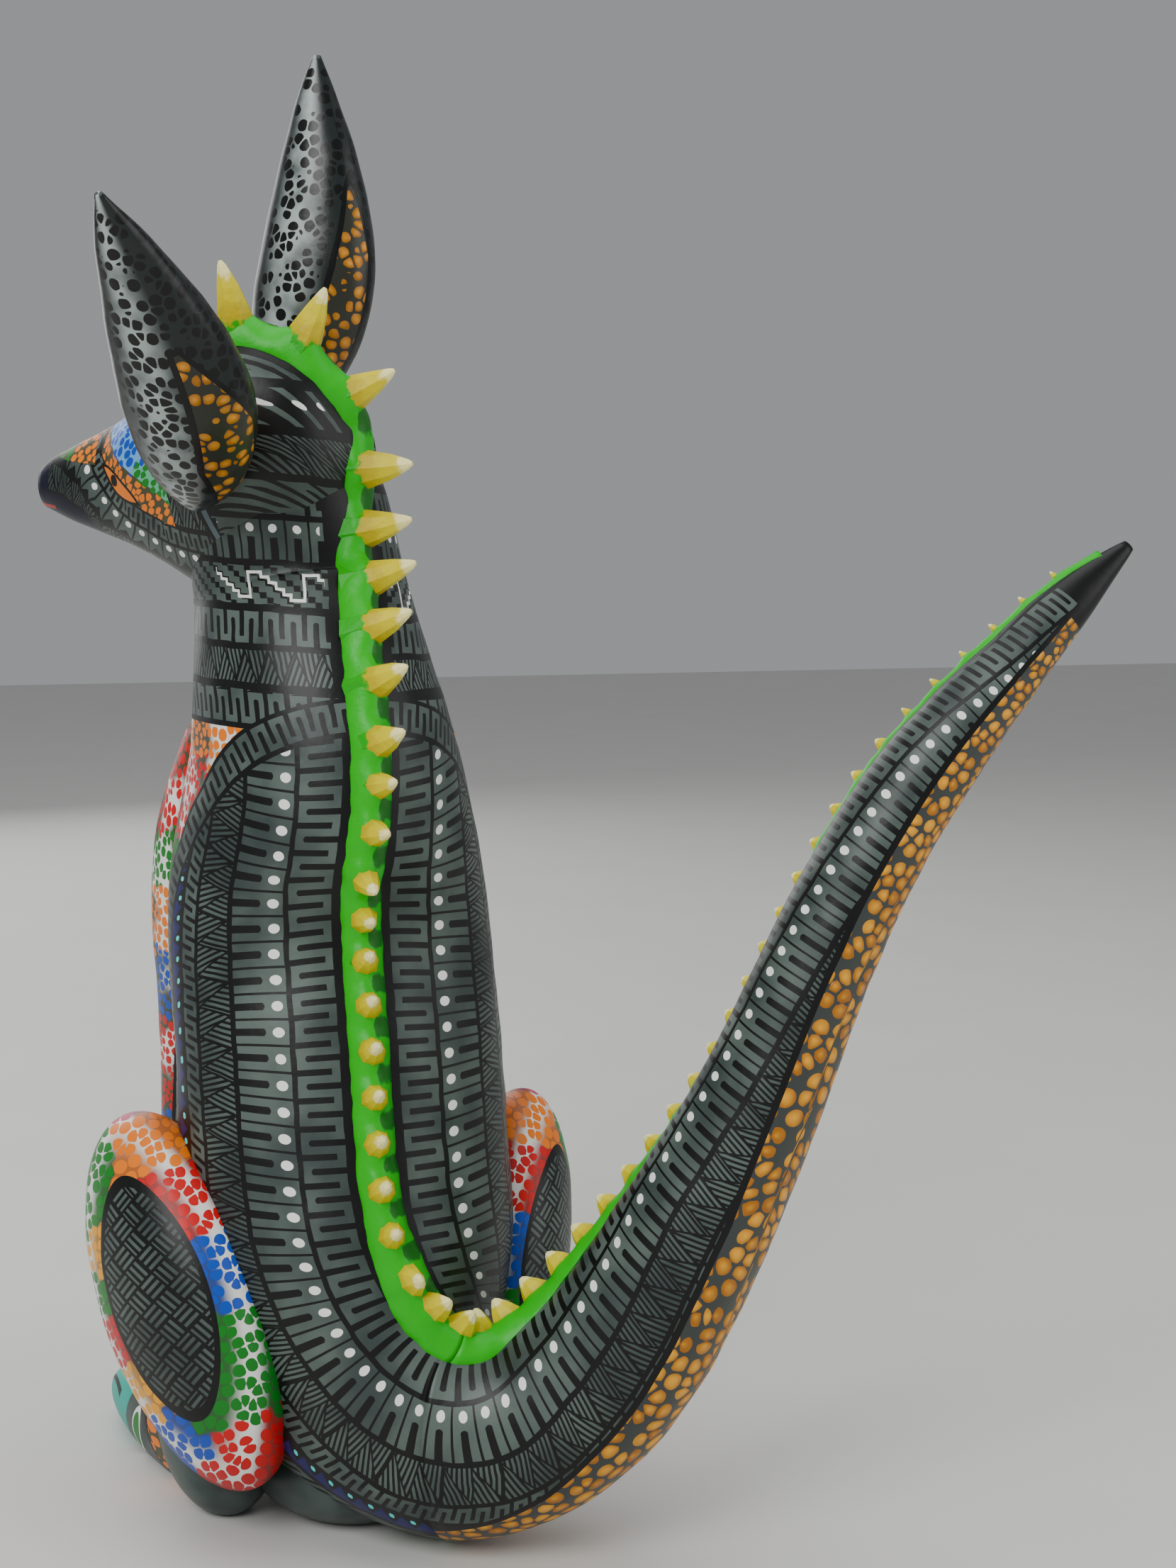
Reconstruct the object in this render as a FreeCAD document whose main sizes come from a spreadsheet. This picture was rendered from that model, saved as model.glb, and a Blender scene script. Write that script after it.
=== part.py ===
"""Carved and painted sitting coyote, an Oaxacan wooden figure, in millimetres.

+Z is up, the chest faces -Y and the animal's left side is +X. The origin is on the table
plane under the hips. Every size is a cell of the sheet "Sizes".
"""
import FreeCAD, Part
import bisect
import math
import os

from FreeCAD import Placement, Rotation, Vector

doc = FreeCAD.newDocument("coyote")
sheet = doc.addObject("Spreadsheet::Sheet", "Sizes")
rows = 0
oval_points = 12  # spline points round one oval


def set_sizes(group, **values):
    """Write one named cell per value, with the group's name in front."""
    global rows
    for name, value in values.items():
        rows += 1
        sheet.set(f"A{rows}", f"{group} {name}".replace("_", " "))
        sheet.set(f"B{rows}", str(value))
        sheet.setAlias(f"B{rows}", f"{group}_{name}")


def size(alias):
    return float(getattr(sheet, alias))


# --- Sizes -----------------------------------------------------------------------------

# Oval templates along the trunk, from the nape down to the root of the tail and on to
# its tip. side, back and up place the middle of an oval; deep and wide are its
# half-sizes; turn and lift aim its crest: turn from straight back towards the animal's
# right, lift above level.
TRUNK = {
    "nape": dict(side=8.5, back=-20, up=229, deep=23, wide=21.5, turn=28, lift=6),
    "throat": dict(side=4, back=-21.5, up=204, deep=26, wide=23.5, turn=19, lift=2),
    "withers": dict(side=3, back=-15, up=186, deep=30, wide=26, turn=12, lift=4),
    "shoulder": dict(side=1, back=-13, up=168, deep=37, wide=29.5, turn=5, lift=2),
    "chest": dict(side=0, back=-14, up=142, deep=38.5, wide=35, turn=0, lift=1),
    "ribs": dict(side=0, back=-9, up=121, deep=33.5, wide=36.5, turn=0, lift=3),
    "waist": dict(side=0, back=-1.5, up=102, deep=31, wide=36.5, turn=0, lift=4),
    "loin": dict(side=0, back=2, up=79, deep=34, wide=37, turn=0, lift=8),
    "rump": dict(side=-1, back=6.5, up=55, deep=36, wide=36, turn=2, lift=20),
    "croup": dict(side=-3.5, back=13.5, up=38, deep=36, wide=32, turn=5, lift=39),
    "root": dict(side=-8, back=25, up=29, deep=30, wide=26, turn=0, lift=54),
    "joint": dict(side=-17.5, back=37, up=23.5, deep=22.5, wide=19, turn=-40, lift=72),
}
TAIL = {
    "joint": TRUNK["joint"],
    "low": dict(side=-36, back=46.5, up=31.5, deep=19.5, wide=17.5, turn=-115, lift=49),
    "bow": dict(side=-51, back=54.5, up=51, deep=18, wide=16, turn=-125, lift=36),
    "rise": dict(side=-64.5, back=60.5, up=78, deep=16, wide=14.2, turn=-131, lift=28),
    "middle": dict(side=-73.5, back=64, up=98, deep=14, wide=12.5, turn=-132, lift=21),
    "upper": dict(side=-88.5, back=68.5, up=135, deep=11.5, wide=10.5, turn=-134, lift=21),
    "slim": dict(side=-99, back=71.5, up=156, deep=10.5, wide=9.5, turn=-135, lift=27),
    "taper": dict(side=-111, back=74.5, up=174, deep=9.2, wide=8.2, turn=-136, lift=32),
    "whip": dict(side=-126, back=76.5, up=191, deep=6.8, wide=6, turn=-132, lift=37),
    "point": dict(side=-139.5, back=77.5, up=205, deep=4.5, wide=4, turn=-128, lift=42),
    "tip": dict(side=-150, back=78, up=214, deep=1.2, wide=1, turn=-128, lift=43),
}
for name, station in TRUNK.items():
    set_sizes(name, **station)
for name, station in TAIL.items():
    if name not in TRUNK:
        set_sizes(name, **station)

# The head turns to its left and cocks over. Its templates stand across the line from the
# back of the skull to the nose, each so far ahead of the middle and so far below it.
set_sizes("head", side=13.5, back=-19, up=234, turn=54, nod=-2, cock=24)
HEAD = {
    "occiput": dict(ahead=-26.5, drop=0, tall=6, wide=5),
    "poll": dict(ahead=-22, drop=0, tall=15.5, wide=13),
    "crown": dict(ahead=-11, drop=0, tall=26, wide=20.5),
    "skull": dict(ahead=1, drop=1, tall=29, wide=22),
    "cheek": dict(ahead=14, drop=4, tall=25.5, wide=18.5),
    "stop": dict(ahead=27, drop=5.6, tall=18, wide=14),
    "muzzle": dict(ahead=41, drop=5.2, tall=11.4, wide=9.5),
    "nose": dict(ahead=50, drop=5, tall=7.4, wide=7),
    "snout_end": dict(ahead=55.5, drop=5.2, tall=4.4, wide=4.2),
}
for name, station in HEAD.items():
    set_sizes(name, **station)
set_sizes("brow", ahead=26, out=10.5, rise=5.5, radius=8.5)

# An ear is a long leaf: templates at heights above its lower end, half-sizes across.
set_sizes("ear", splay=23, back_lean=10, ahead=5, out=23.5, down=1, gap=0.3)
EAR = {
    "lobe": dict(at=0, back=0, deep=3, wide=2.4),
    "cup": dict(at=6, back=1.5, deep=8, wide=6),
    "bowl": dict(at=15, back=3.5, deep=12, wide=9),
    "blade": dict(at=30, back=5.5, deep=14.2, wide=10),
    "spread": dict(at=46, back=5, deep=12.5, wide=8.6),
    "spear": dict(at=62, back=3, deep=8.5, wide=5.8),
    "needle": dict(at=75, back=1, deep=4.2, wide=3),
    "end": dict(at=83, back=0, deep=0.9, wide=0.7),
}
for name, station in EAR.items():
    set_sizes(f"ear_{name}", **station)
set_sizes("ear_peg", radius=3, buried=11, in_ear=7, above=10, clearance=0.05)

# One side's legs; the other side mirrors them. A foreleg is a column of templates.
FORELEG = {
    "point_of_shoulder": dict(side=18.5, back=-33, up=170, deep=11, wide=10),
    "upper_arm": dict(side=22, back=-37, up=148, deep=16.5, wide=13),
    "elbow": dict(side=24, back=-46, up=102, deep=12.5, wide=10.5),
    "forearm": dict(side=25, back=-51, up=62, deep=9.5, wide=9),
    "wrist": dict(side=25.5, back=-53, up=22, deep=8.6, wide=8.4),
    "pastern": dict(side=26, back=-56, up=2, deep=11, wide=9.4),
}
for name, station in FORELEG.items():
    set_sizes(name, **station)
set_sizes("paw", side=26, back=-64, up=3, long=17, wide=9.6, tall=9.5)
# The left haunch is carved fuller and further back than the right one.
set_sizes("haunch_left", side=35.5, back=4.5, up=46, long=43, deep=27.5, wide=18, slope=25, splay=15, tuck=10)
set_sizes("haunch_right", side=37.5, back=-4, up=46, long=43, deep=23, wide=16, slope=25, splay=15, tuck=10)
set_sizes("hock", side=29, back=-1, up=18, long=20, deep=14, wide=13, slope=30, splay=15, tuck=0)
set_sizes("seat", side=-1, back=5, up=11, long=26, wide=24, tall=14)
set_sizes("foot", side=33.5, back=-28, up=5, long=38, wide=7.5, tall=9.5, splay=15)

# A bead of filler lies half round along the crest, and thorns are glued upright on it. A
# group's thorns start so far along the crest, or past the tail's joint, and shrink from
# their first length and radius to their last.
set_sizes("bead", radius=4.6, stand=2.5, start=10, pitch=10, tail_end=221, tail_radius=1.6, joint_gap=0.4)
SPINES = {
    "head_spine": dict(where="back", count=3, first=18, step=14, length=13.5, last_length=11,
                       radius=3.5, last_radius=3.4),
    "neck_spine": dict(where="back", count=6, first=61, step=12.8, length=10.5, last_length=7.5,
                       radius=3.3, last_radius=3.1),
    "back_spine": dict(where="back", count=11, first=134, step=9.6, length=6.5, last_length=6,
                       radius=2.8, last_radius=2.8),
    "rump_spine": dict(where="back", count=3, first=240, step=8, length=5.5, last_length=5.2,
                       radius=2.6, last_radius=2.5),
    "tail_spine": dict(where="tail", count=26, first=6, step=8.2, length=4.8, last_length=1.5,
                       radius=2.4, last_radius=0.8),
}
for name, group in SPINES.items():
    set_sizes(name, **{cell: value for cell, value in group.items() if cell != "where"})
set_sizes("thorn", tip_radius=0.45, foot=0.6)
set_sizes("tail_peg", radius=5, reach=18)

doc.recompute()

# --- Helpers ---------------------------------------------------------------------------


def add(kind, name, **properties):
    thing = doc.addObject(kind, name)
    for key, value in properties.items():
        setattr(thing, key, value)
    return thing


def frame_at(origin, x_axis, z_axis):
    """Placement whose X and Z axes follow the two given directions."""
    z_axis = Vector(z_axis).normalize()
    x_axis = (x_axis - z_axis * x_axis.dot(z_axis)).normalize()
    return Placement(origin, Rotation(x_axis, z_axis.cross(x_axis), z_axis, "ZXY"))


def oval(name, place, deep, wide):
    """Closed oval across the placement's Z axis that starts at its crest, on +X.

    A Part::Ellipse starts at its longer radius, which would twist a loft wherever an
    oval is wider than it is deep, so each oval is a closed spline from its crest.
    """
    steps = [2 * math.pi * index / oval_points for index in range(oval_points + 1)]
    spots = [Vector(deep * math.cos(angle), wide * math.sin(angle), 0) for angle in steps[:-1]]
    outline = Part.BSplineCurve()
    outline.interpolate(Points=spots, PeriodicFlag=True, Parameters=steps)
    ring = add("Part::Feature", name)
    ring.Shape = Part.Wire(outline.toShape())
    ring.Placement = place
    return ring


def loft(name, rings):
    return add("Part::Loft", name, Sections=rings, Solid=True, Ruled=False)


def fuse(name, shapes):
    return add("Part::MultiFuse", name, Shapes=shapes, Refine=False)


def cut(name, base, tool):
    return add("Part::Cut", name, Base=base, Tool=tool, Refine=False)


def compound(name, links):
    return add("Part::Compound", name, Links=links)


def ellipsoid(name, place, along_z, along_x, along_y):
    """Ellipsoid with its three radii bound to cells."""
    egg = add("Part::Ellipsoid", name, Angle1=-90, Angle2=90, Angle3=360)
    egg.setExpression("Radius1", f"Sizes.{along_z}")
    egg.setExpression("Radius2", f"Sizes.{along_x}")
    egg.setExpression("Radius3", f"Sizes.{along_y}")
    egg.Placement = place
    return egg


def rod(name, start, direction, radius, length):
    """Cylinder from a point along a direction."""
    bar = add("Part::Cylinder", name, Height=length)
    bar.setExpression("Radius", radius)
    bar.Placement = Placement(start, Rotation(Vector(0, 0, 1), direction))
    return bar


def aim(turn, lift):
    """Unit direction: turn from straight back towards the right, then lift."""
    turn, lift = math.radians(turn), math.radians(lift)
    level = math.cos(lift)
    return Vector(-math.sin(turn) * level, math.cos(turn) * level, math.sin(lift))


def middle(name):
    return Vector(size(f"{name}_side"), size(f"{name}_back"), size(f"{name}_up"))


def crest_way(name):
    return aim(size(f"{name}_turn"), size(f"{name}_lift"))


def travel(points, index):
    """Direction of a row of points at one of them."""
    ahead = points[min(index + 1, len(points) - 1)]
    behind = points[max(index - 1, 0)]
    return (ahead - behind).normalize()


# --- Trunk and tail --------------------------------------------------------------------

spine_names = list(TRUNK) + [name for name in TAIL if name not in TRUNK]
spine_points = [middle(name) for name in spine_names]


def trunk_oval(name, owner):
    index = spine_names.index(name)
    place = frame_at(spine_points[index], crest_way(name), travel(spine_points, index))
    return oval(f"{owner}_{name}", place, size(f"{name}_deep"), size(f"{name}_wide"))


trunk = loft("trunk", [trunk_oval(name, "trunk") for name in TRUNK])
tail_blank = loft("tail_blank", [trunk_oval(name, "tail") for name in TAIL])

# --- Head ------------------------------------------------------------------------------

skull_middle = middle("head")
forward = Vector(0, -1, 0)
head_turn = Rotation(Vector(0, 0, 1), size("head_turn"))
head_nod = Rotation(Vector(1, 0, 0), -size("head_nod"))
head_cock = Rotation(Vector(0, 1, 0), size("head_cock"))
head_rotation = head_turn.multiply(head_nod).multiply(head_cock)
head_ahead = head_rotation.multVec(Vector(0, -1, 0))
head_left = head_rotation.multVec(Vector(1, 0, 0))
head_up = head_rotation.multVec(Vector(0, 0, 1))


def in_head(ahead, left, up):
    return skull_middle + head_ahead * ahead + head_left * left + head_up * up


head_rings = []
for name in HEAD:
    spot = in_head(size(f"{name}_ahead"), 0, -size(f"{name}_drop"))
    ring_place = frame_at(spot, head_up, head_ahead)
    head_rings.append(oval(f"head_{name}", ring_place, size(f"{name}_tall"), size(f"{name}_wide")))
head = loft("head", head_rings)
brows = []
for side_name, side in (("left", 1), ("right", -1)):
    brow = add("Part::Sphere", f"brow_{side_name}")
    brow.setExpression("Radius", "Sizes.brow_radius")
    spot = in_head(size("brow_ahead"), side * size("brow_out"), size("brow_rise"))
    brow.Placement = Placement(spot, Rotation())
    brows.append(brow)

# --- Legs ------------------------------------------------------------------------------


def mirrored(point, side):
    return Vector(point.x * side, point.y, point.z)


def leg_ellipsoid(name, group, side):
    """Ellipsoid on one side: its top leans forward and outward, and its front splays out."""
    turn_out = Rotation(Vector(0, 0, 1), side * size(f"{group}_splay"))
    tuck = Rotation(Vector(0, 1, 0), side * size(f"{group}_tuck"))
    lean = Rotation(Vector(1, 0, 0), size(f"{group}_slope"))
    place = Placement(mirrored(middle(group), side), turn_out.multiply(tuck).multiply(lean))
    return ellipsoid(name, place, f"{group}_long", f"{group}_wide", f"{group}_deep")


leg_parts = []
for side_name, side in (("left", 1), ("right", -1)):
    leg_points = [mirrored(middle(name), side) for name in FORELEG]
    leg_rings = []
    for index, name in enumerate(FORELEG):
        ring_place = frame_at(leg_points[index], Vector(0, 1, 0), travel(leg_points, index))
        leg_rings.append(oval(f"{name}_{side_name}", ring_place, size(f"{name}_deep"), size(f"{name}_wide")))
    leg_parts.append(loft(f"foreleg_{side_name}", leg_rings))
    paw_place = Placement(mirrored(middle("paw"), side), Rotation())
    leg_parts.append(ellipsoid(f"paw_{side_name}", paw_place, "paw_tall", "paw_wide", "paw_long"))
    leg_parts.append(leg_ellipsoid(f"thigh_{side_name}", f"haunch_{side_name}", side))
    leg_parts.append(leg_ellipsoid(f"heel_{side_name}", "hock", side))
    foot_place = Placement(mirrored(middle("foot"), side), Rotation(Vector(0, 0, 1), side * size("foot_splay")))
    leg_parts.append(ellipsoid(f"foot_{side_name}", foot_place, "foot_tall", "foot_wide", "foot_long"))

seat = ellipsoid("seat", Placement(middle("seat"), Rotation()), "seat_tall", "seat_wide", "seat_long")
carving = fuse("carving", [trunk, head, seat] + brows + leg_parts)
below_table = add("Part::Box", "below_table", Length=400, Width=400, Height=60)
below_table.Placement = Placement(Vector(-200, -200, -60), Rotation())
body_blank = cut("body_blank", carving, below_table)

# --- Ears ------------------------------------------------------------------------------

# The ears clear the head by one gap all over, so that they pull straight off their pegs.
clear_rings = []
for name in HEAD:
    gap = size("ear_gap")
    spot = in_head(size(f"{name}_ahead"), 0, -size(f"{name}_drop"))
    ring_place = frame_at(spot, head_up, head_ahead)
    clear_rings.append(oval(f"clear_{name}", ring_place, size(f"{name}_tall") + gap, size(f"{name}_wide") + gap))
head_clearance = loft("head_clearance", clear_rings)

ear_blanks = {}
ear_pegs = {}
peg_holes = {}
for side_name, side in (("left", 1), ("right", -1)):
    splay = math.radians(size("ear_splay"))
    lean = math.radians(size("ear_back_lean"))
    upright = head_up * math.cos(splay) + head_left * (side * math.sin(splay))
    ear_way = upright * math.cos(lean) - head_ahead * math.sin(lean)
    ear_foot = in_head(size("ear_ahead"), side * size("ear_out"), -size("ear_down"))
    rings = []
    for name in EAR:
        spot = ear_foot + ear_way * size(f"ear_{name}_at") - head_ahead * size(f"ear_{name}_back")
        ring_place = frame_at(spot, head_ahead, ear_way)
        rings.append(oval(f"{name}_{side_name}", ring_place, size(f"ear_{name}_deep"), size(f"ear_{name}_wide")))
    leaf = loft(f"leaf_{side_name}", rings)
    ear_blanks[side_name] = cut(f"ear_blank_{side_name}", leaf, head_clearance)
    out_way = head_left * side
    skull_side = size("skull_wide")
    peg_start = in_head(size("ear_ahead"), side * (skull_side - size("ear_peg_buried")), size("ear_peg_above"))
    peg_length = size("ear_peg_buried") + size("ear_peg_in_ear")
    ear_pegs[side_name] = rod(f"peg_{side_name}", peg_start, out_way, "Sizes.ear_peg_radius", peg_length)
    ear_pegs[side_name].Label = f"ear_peg_{side_name}"
    clearance = size("ear_peg_clearance")
    hole_start = peg_start - out_way * clearance
    hole_radius = "Sizes.ear_peg_radius + Sizes.ear_peg_clearance"
    peg_holes[side_name] = rod(f"peg_hole_{side_name}", hole_start, out_way, hole_radius, peg_length)

# --- Crest: where the bead of filler and its thorns run --------------------------------


def crest_samples(skin, start, end, count):
    """Points along the crest of a loft, each with its outward way, between two of its points."""
    surface = skin.Shape.Faces[0].Surface
    first, last = surface.parameter(start)[1], surface.parameter(end)[1]
    samples = []
    for index in range(count):
        level = first + (last - first) * index / (count - 1)
        spot, outward = surface.value(0, level), surface.normal(0, level)
        inside = skin.Shape.isInside(spot + outward, 0.01, False)
        samples.append((spot, outward * (-1 if inside else 1)))
    return samples


def station_crest(name):
    return middle(name) + crest_way(name) * size(f"{name}_deep")


def head_top(name):
    return in_head(size(f"{name}_ahead"), 0, size(f"{name}_tall") - size(f"{name}_drop"))


doc.recompute()
crest = crest_samples(head, head_top("cheek"), head_top("poll"), 12)
crest += crest_samples(trunk, station_crest("throat"), station_crest("joint"), 40)
joint_sample = len(crest) - 1
crest += crest_samples(tail_blank, station_crest("joint"), station_crest("tip"), 40)[1:]
marks = [0]
for (spot, _), (after, _) in zip(crest, crest[1:]):
    marks.append(marks[-1] + (after - spot).Length)
crest_line = Part.BSplineCurve()
crest_line.interpolate(Points=[spot for spot, outward in crest], Parameters=marks)
back_length = crest_line.length(0, marks[joint_sample])
tail_length = crest_line.length(marks[joint_sample], marks[-1])


def crest_at(distance):
    """Point on the crest at a distance along it, its direction and its outward way."""
    parameter = crest_line.parameterAtDistance(distance, 0)
    spot = crest_line.value(parameter)
    along = crest_line.tangent(parameter)[0].normalize()
    index = min(bisect.bisect(marks, parameter), len(marks) - 1)
    share = (parameter - marks[index - 1]) / (marks[index] - marks[index - 1])
    outward = crest[index - 1][1] * (1 - share) + crest[index][1] * share
    return spot, along, (outward - along * outward.dot(along)).normalize()


def bead_scale(distance):
    """The bead keeps its full size along the back and thins out down the tail."""
    along_tail = max(0, distance - back_length) / size("bead_tail_end")
    return 1 + (size("bead_tail_radius") / size("bead_radius") - 1) * along_tail


def bead(name, start, end):
    """Round bead swept half sunk along a stretch of the crest."""
    count = round((end - start) / size("bead_pitch"))
    centres = []
    for index in range(count + 1):
        spot, along, outward = crest_at(start + (end - start) * index / count)
        sink = (size("bead_radius") - size("bead_stand")) * bead_scale(start + (end - start) * index / count)
        centres.append(spot - outward * sink)
    line = Part.BSplineCurve()
    line.interpolate(centres)
    run = add("Part::Feature", f"{name}_run")
    run.Shape = line.toShape()
    rings = []
    ends = [(line.FirstParameter, start), (line.LastParameter, end)]
    for parameter, distance in ends if bead_scale(end) < 1 else ends[:1]:
        radius = size("bead_radius") * bead_scale(distance)
        ring = add("Part::Circle", f"{name}_end_{len(rings) + 1}", Radius=radius)
        outward = crest_at(distance)[2]
        ring.Placement = frame_at(line.value(parameter), outward, line.tangent(parameter)[0])
        rings.append(ring)
    return add("Part::Sweep", name, Sections=rings, Spine=(run, ["Edge1"]), Solid=True, Frenet=False)


def thorn(name, distance, length, radius):
    """Pointed thorn standing on the crest, its foot hollowed to sit on the bead."""
    spot, along, outward = crest_at(distance)
    scale = bead_scale(distance)
    foot = size("thorn_foot") * scale
    total = length + size("bead_stand") * scale - foot
    point = add("Part::Cone", f"{name}_point", Radius1=radius, Height=total)
    point.setExpression("Radius2", "Sizes.thorn_tip_radius")
    point.Placement = Placement(spot + outward * foot, Rotation(Vector(0, 0, 1), outward))
    sink = (size("bead_radius") - size("bead_stand")) * scale
    seat_start = spot - outward * sink - along * (2 * radius)
    seat = rod(f"{name}_seat", seat_start, along, f"Sizes.bead_radius * {scale:.4f}", 4 * radius)
    spine = cut(f"{name}_seated", point, seat)
    spine.Label = name
    return spine


joint_gap = size("bead_joint_gap") / 2
back_bead = bead("back_bead", size("bead_start"), back_length - joint_gap)
tail_bead = bead("tail_bead", back_length + joint_gap, back_length + size("bead_tail_end"))
thorns = []
for name, group in SPINES.items():
    count = int(size(f"{name}_count"))
    for index in range(count):
        share = index / max(count - 1, 1)
        length = size(f"{name}_length") * (1 - share) + size(f"{name}_last_length") * share
        radius = size(f"{name}_radius") * (1 - share) + size(f"{name}_last_radius") * share
        distance = size(f"{name}_first") + index * size(f"{name}_step")
        if group["where"] == "tail":
            distance += back_length
        thorns.append(thorn(f"{name}_{index + 1:02d}", distance, length, radius))

# --- Pegs and the finished pieces ------------------------------------------------------

joint = frame_at(middle("joint"), crest_way("joint"), travel(spine_points, spine_names.index("joint")))
joint_way = joint.Rotation.multVec(Vector(0, 0, 1))
peg_reach = size("tail_peg_reach")
tail_peg = rod("tail_peg_solid", middle("joint") - joint_way * peg_reach, joint_way,
               "Sizes.tail_peg_radius", 2 * peg_reach)
tail_peg.Label = "tail_peg"
ear_holes = compound("ear_holes", [peg_holes["left"], peg_holes["right"]])


def finished(name, *stages):
    """A blank with each tool cut from it in turn, as a named piece."""
    piece = stages[0]
    for index, tool in enumerate(stages[1:]):
        piece = cut(f"{name}_stage_{index + 1}", piece, tool)
    piece.Label = name
    return piece


body = finished("body", body_blank, tail_peg, ear_holes)
tail = finished("tail", tail_blank, tail_peg)
back_ridge = finished("back_ridge", back_bead, body_blank, tail_blank)
tail_ridge = finished("tail_ridge", tail_bead, body_blank, tail_blank)
nodes = [body, tail, back_ridge, tail_ridge, tail_peg]
for side_name in ("left", "right"):
    ear = finished(f"ear_{side_name}", ear_blanks[side_name], ear_pegs[side_name])
    nodes += [ear, ear_pegs[side_name]]
nodes += thorns
doc.recompute()

# --- Checks and export -----------------------------------------------------------------

for thing in doc.Objects:
    if "Invalid" in thing.State or "Error" in thing.State:
        raise RuntimeError(f"{thing.Name} did not compute: {thing.State}")
for node in nodes:
    shape = node.Shape
    if shape.isNull() or not shape.isValid() or len(shape.Solids) != 1:
        raise RuntimeError(f"{node.Label} is not one valid solid")

os.makedirs("parts", exist_ok=True)
for node in nodes:
    node.Shape.exportStep(f"parts/{node.Label}.step")
    box = node.Shape.BoundBox
    print(f"{node.Label}: {box.XLength:.1f} x {box.YLength:.1f} x {box.ZLength:.1f} mm")
print(f"{len(nodes)} pieces written")
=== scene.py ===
import math

import bmesh
import bpy
import numpy as np
from mathutils import Matrix, Vector, noise


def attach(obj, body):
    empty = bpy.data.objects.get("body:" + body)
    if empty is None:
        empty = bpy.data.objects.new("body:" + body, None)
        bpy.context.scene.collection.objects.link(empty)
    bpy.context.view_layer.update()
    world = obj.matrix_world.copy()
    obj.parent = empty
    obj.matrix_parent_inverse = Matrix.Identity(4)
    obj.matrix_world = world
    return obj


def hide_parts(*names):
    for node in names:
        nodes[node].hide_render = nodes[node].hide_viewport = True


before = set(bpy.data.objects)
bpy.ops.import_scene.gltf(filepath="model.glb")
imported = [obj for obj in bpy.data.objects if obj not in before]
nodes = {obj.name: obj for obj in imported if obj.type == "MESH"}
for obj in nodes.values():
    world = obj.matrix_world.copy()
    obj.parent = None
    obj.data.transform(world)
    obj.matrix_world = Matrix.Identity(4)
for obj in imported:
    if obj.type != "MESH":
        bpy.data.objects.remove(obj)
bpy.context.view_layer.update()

mm = 0.001  # every length is in millimetres until a vertex is made
dotPitch = dict(legs=3.1, forelegs=2.6, face=2.1, ears=2.85, earPanels=3.1)  # millimetres between painted dots


# Natural cubic spline through rows of values
def splineThrough(marks, values, at):
    marks = np.asarray(marks, float)
    values = np.asarray(values, float)
    count = len(marks)
    step = np.diff(marks)
    system = np.eye(count)
    rest = np.zeros_like(values)
    for i in range(1, count - 1):
        system[i, i - 1:i + 2] = step[i - 1], 2 * (step[i - 1] + step[i]), step[i]
        rest[i] = 3 * ((values[i + 1] - values[i]) / step[i] - (values[i] - values[i - 1]) / step[i - 1])
    bend = np.linalg.solve(system, rest)
    place = np.clip(np.searchsorted(marks, at, side="right") - 1, 0, count - 2)
    span = step[place][:, None]
    ahead = (np.asarray(at) - marks[place])[:, None]
    low, high = values[place], values[place + 1]
    slope = (high - low) / span - span * (2 * bend[place] + bend[place + 1]) / 3
    cubic = (bend[place + 1] - bend[place]) / (3 * span)
    return low + slope * ahead + bend[place] * ahead ** 2 + cubic * ahead ** 3


def unit(rows):
    return rows / np.linalg.norm(rows, axis=-1, keepdims=True)


def aim(turn, lift):
    turn, lift = math.radians(turn), math.radians(lift)
    return (-math.sin(turn) * math.cos(lift), math.cos(turn) * math.cos(lift), math.sin(lift))


# Grid of points, ring by ring, through oval stations, with the crest in column 0
def skinRings(middles, ways, deeps, wides, spacing, around):
    middles = np.array(middles, float)
    marks = np.concatenate([[0], np.cumsum(np.linalg.norm(np.diff(middles, axis=0), axis=1))])
    at = [np.array([0.0])]
    for start, end in zip(marks[:-1], marks[1:]):
        steps = max(1, round((end - start) / spacing))
        at.append(np.linspace(start, end, steps + 1)[1:])
    at = np.concatenate(at)
    table = np.column_stack([middles, np.array(ways, float), deeps, wides])
    rows = splineThrough(marks, table, at)
    centre, way, deep, wide = rows[:, :3], rows[:, 3:6], rows[:, 6], rows[:, 7]
    along = unit(np.gradient(centre, axis=0))
    way = unit(way - along * np.sum(way * along, axis=1, keepdims=True))
    side = np.cross(along, way)
    turn = np.linspace(0, 2 * math.pi, around, endpoint=False)
    rise = np.maximum(deep, 0.3)[:, None, None] * np.cos(turn)[None, :, None] * way[:, None]
    across = np.maximum(wide, 0.3)[:, None, None] * np.sin(turn)[None, :, None] * side[:, None]
    return centre[:, None] + rise + across, way, marks, at


def eggGrid(centre, axes, radii, side, rings, around):
    lat = np.linspace(0.02, math.pi - 0.02, rings)[:, None]
    turn = np.linspace(-math.pi, math.pi, around + 1)[None]
    local = np.stack([np.cos(lat) * radii[0] + 0 * turn, np.sin(lat) * np.cos(turn) * radii[1] * side,
                      np.sin(lat) * np.sin(turn) * radii[2]], axis=-1)
    grid = np.array(centre) + local @ np.array(axes, float)
    high = np.cos(lat) * radii[0] + 0 * turn
    spread = np.stack([0 * lat + turn * 20, high], axis=-1)
    cells = np.stack([(turn - 0.94) * 20 * np.sin(lat), high * 1.12], axis=-1) / dotPitch["legs"]
    return grid[:, :-1], {"eggSpread": spread, "cells": cells}


# Faint unevenness left by the knife
def carve(grid, depth, size, seed=0.0):
    flat = grid.reshape(-1, 3)
    middle = grid.mean(axis=1, keepdims=True)
    outward = unit(grid - middle).reshape(-1, 3)
    push = np.array([noise.noise(Vector(p) / size + Vector((seed, 0, 0))) for p in flat])
    return (flat + outward * (push * depth)[:, None]).reshape(grid.shape)


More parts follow.
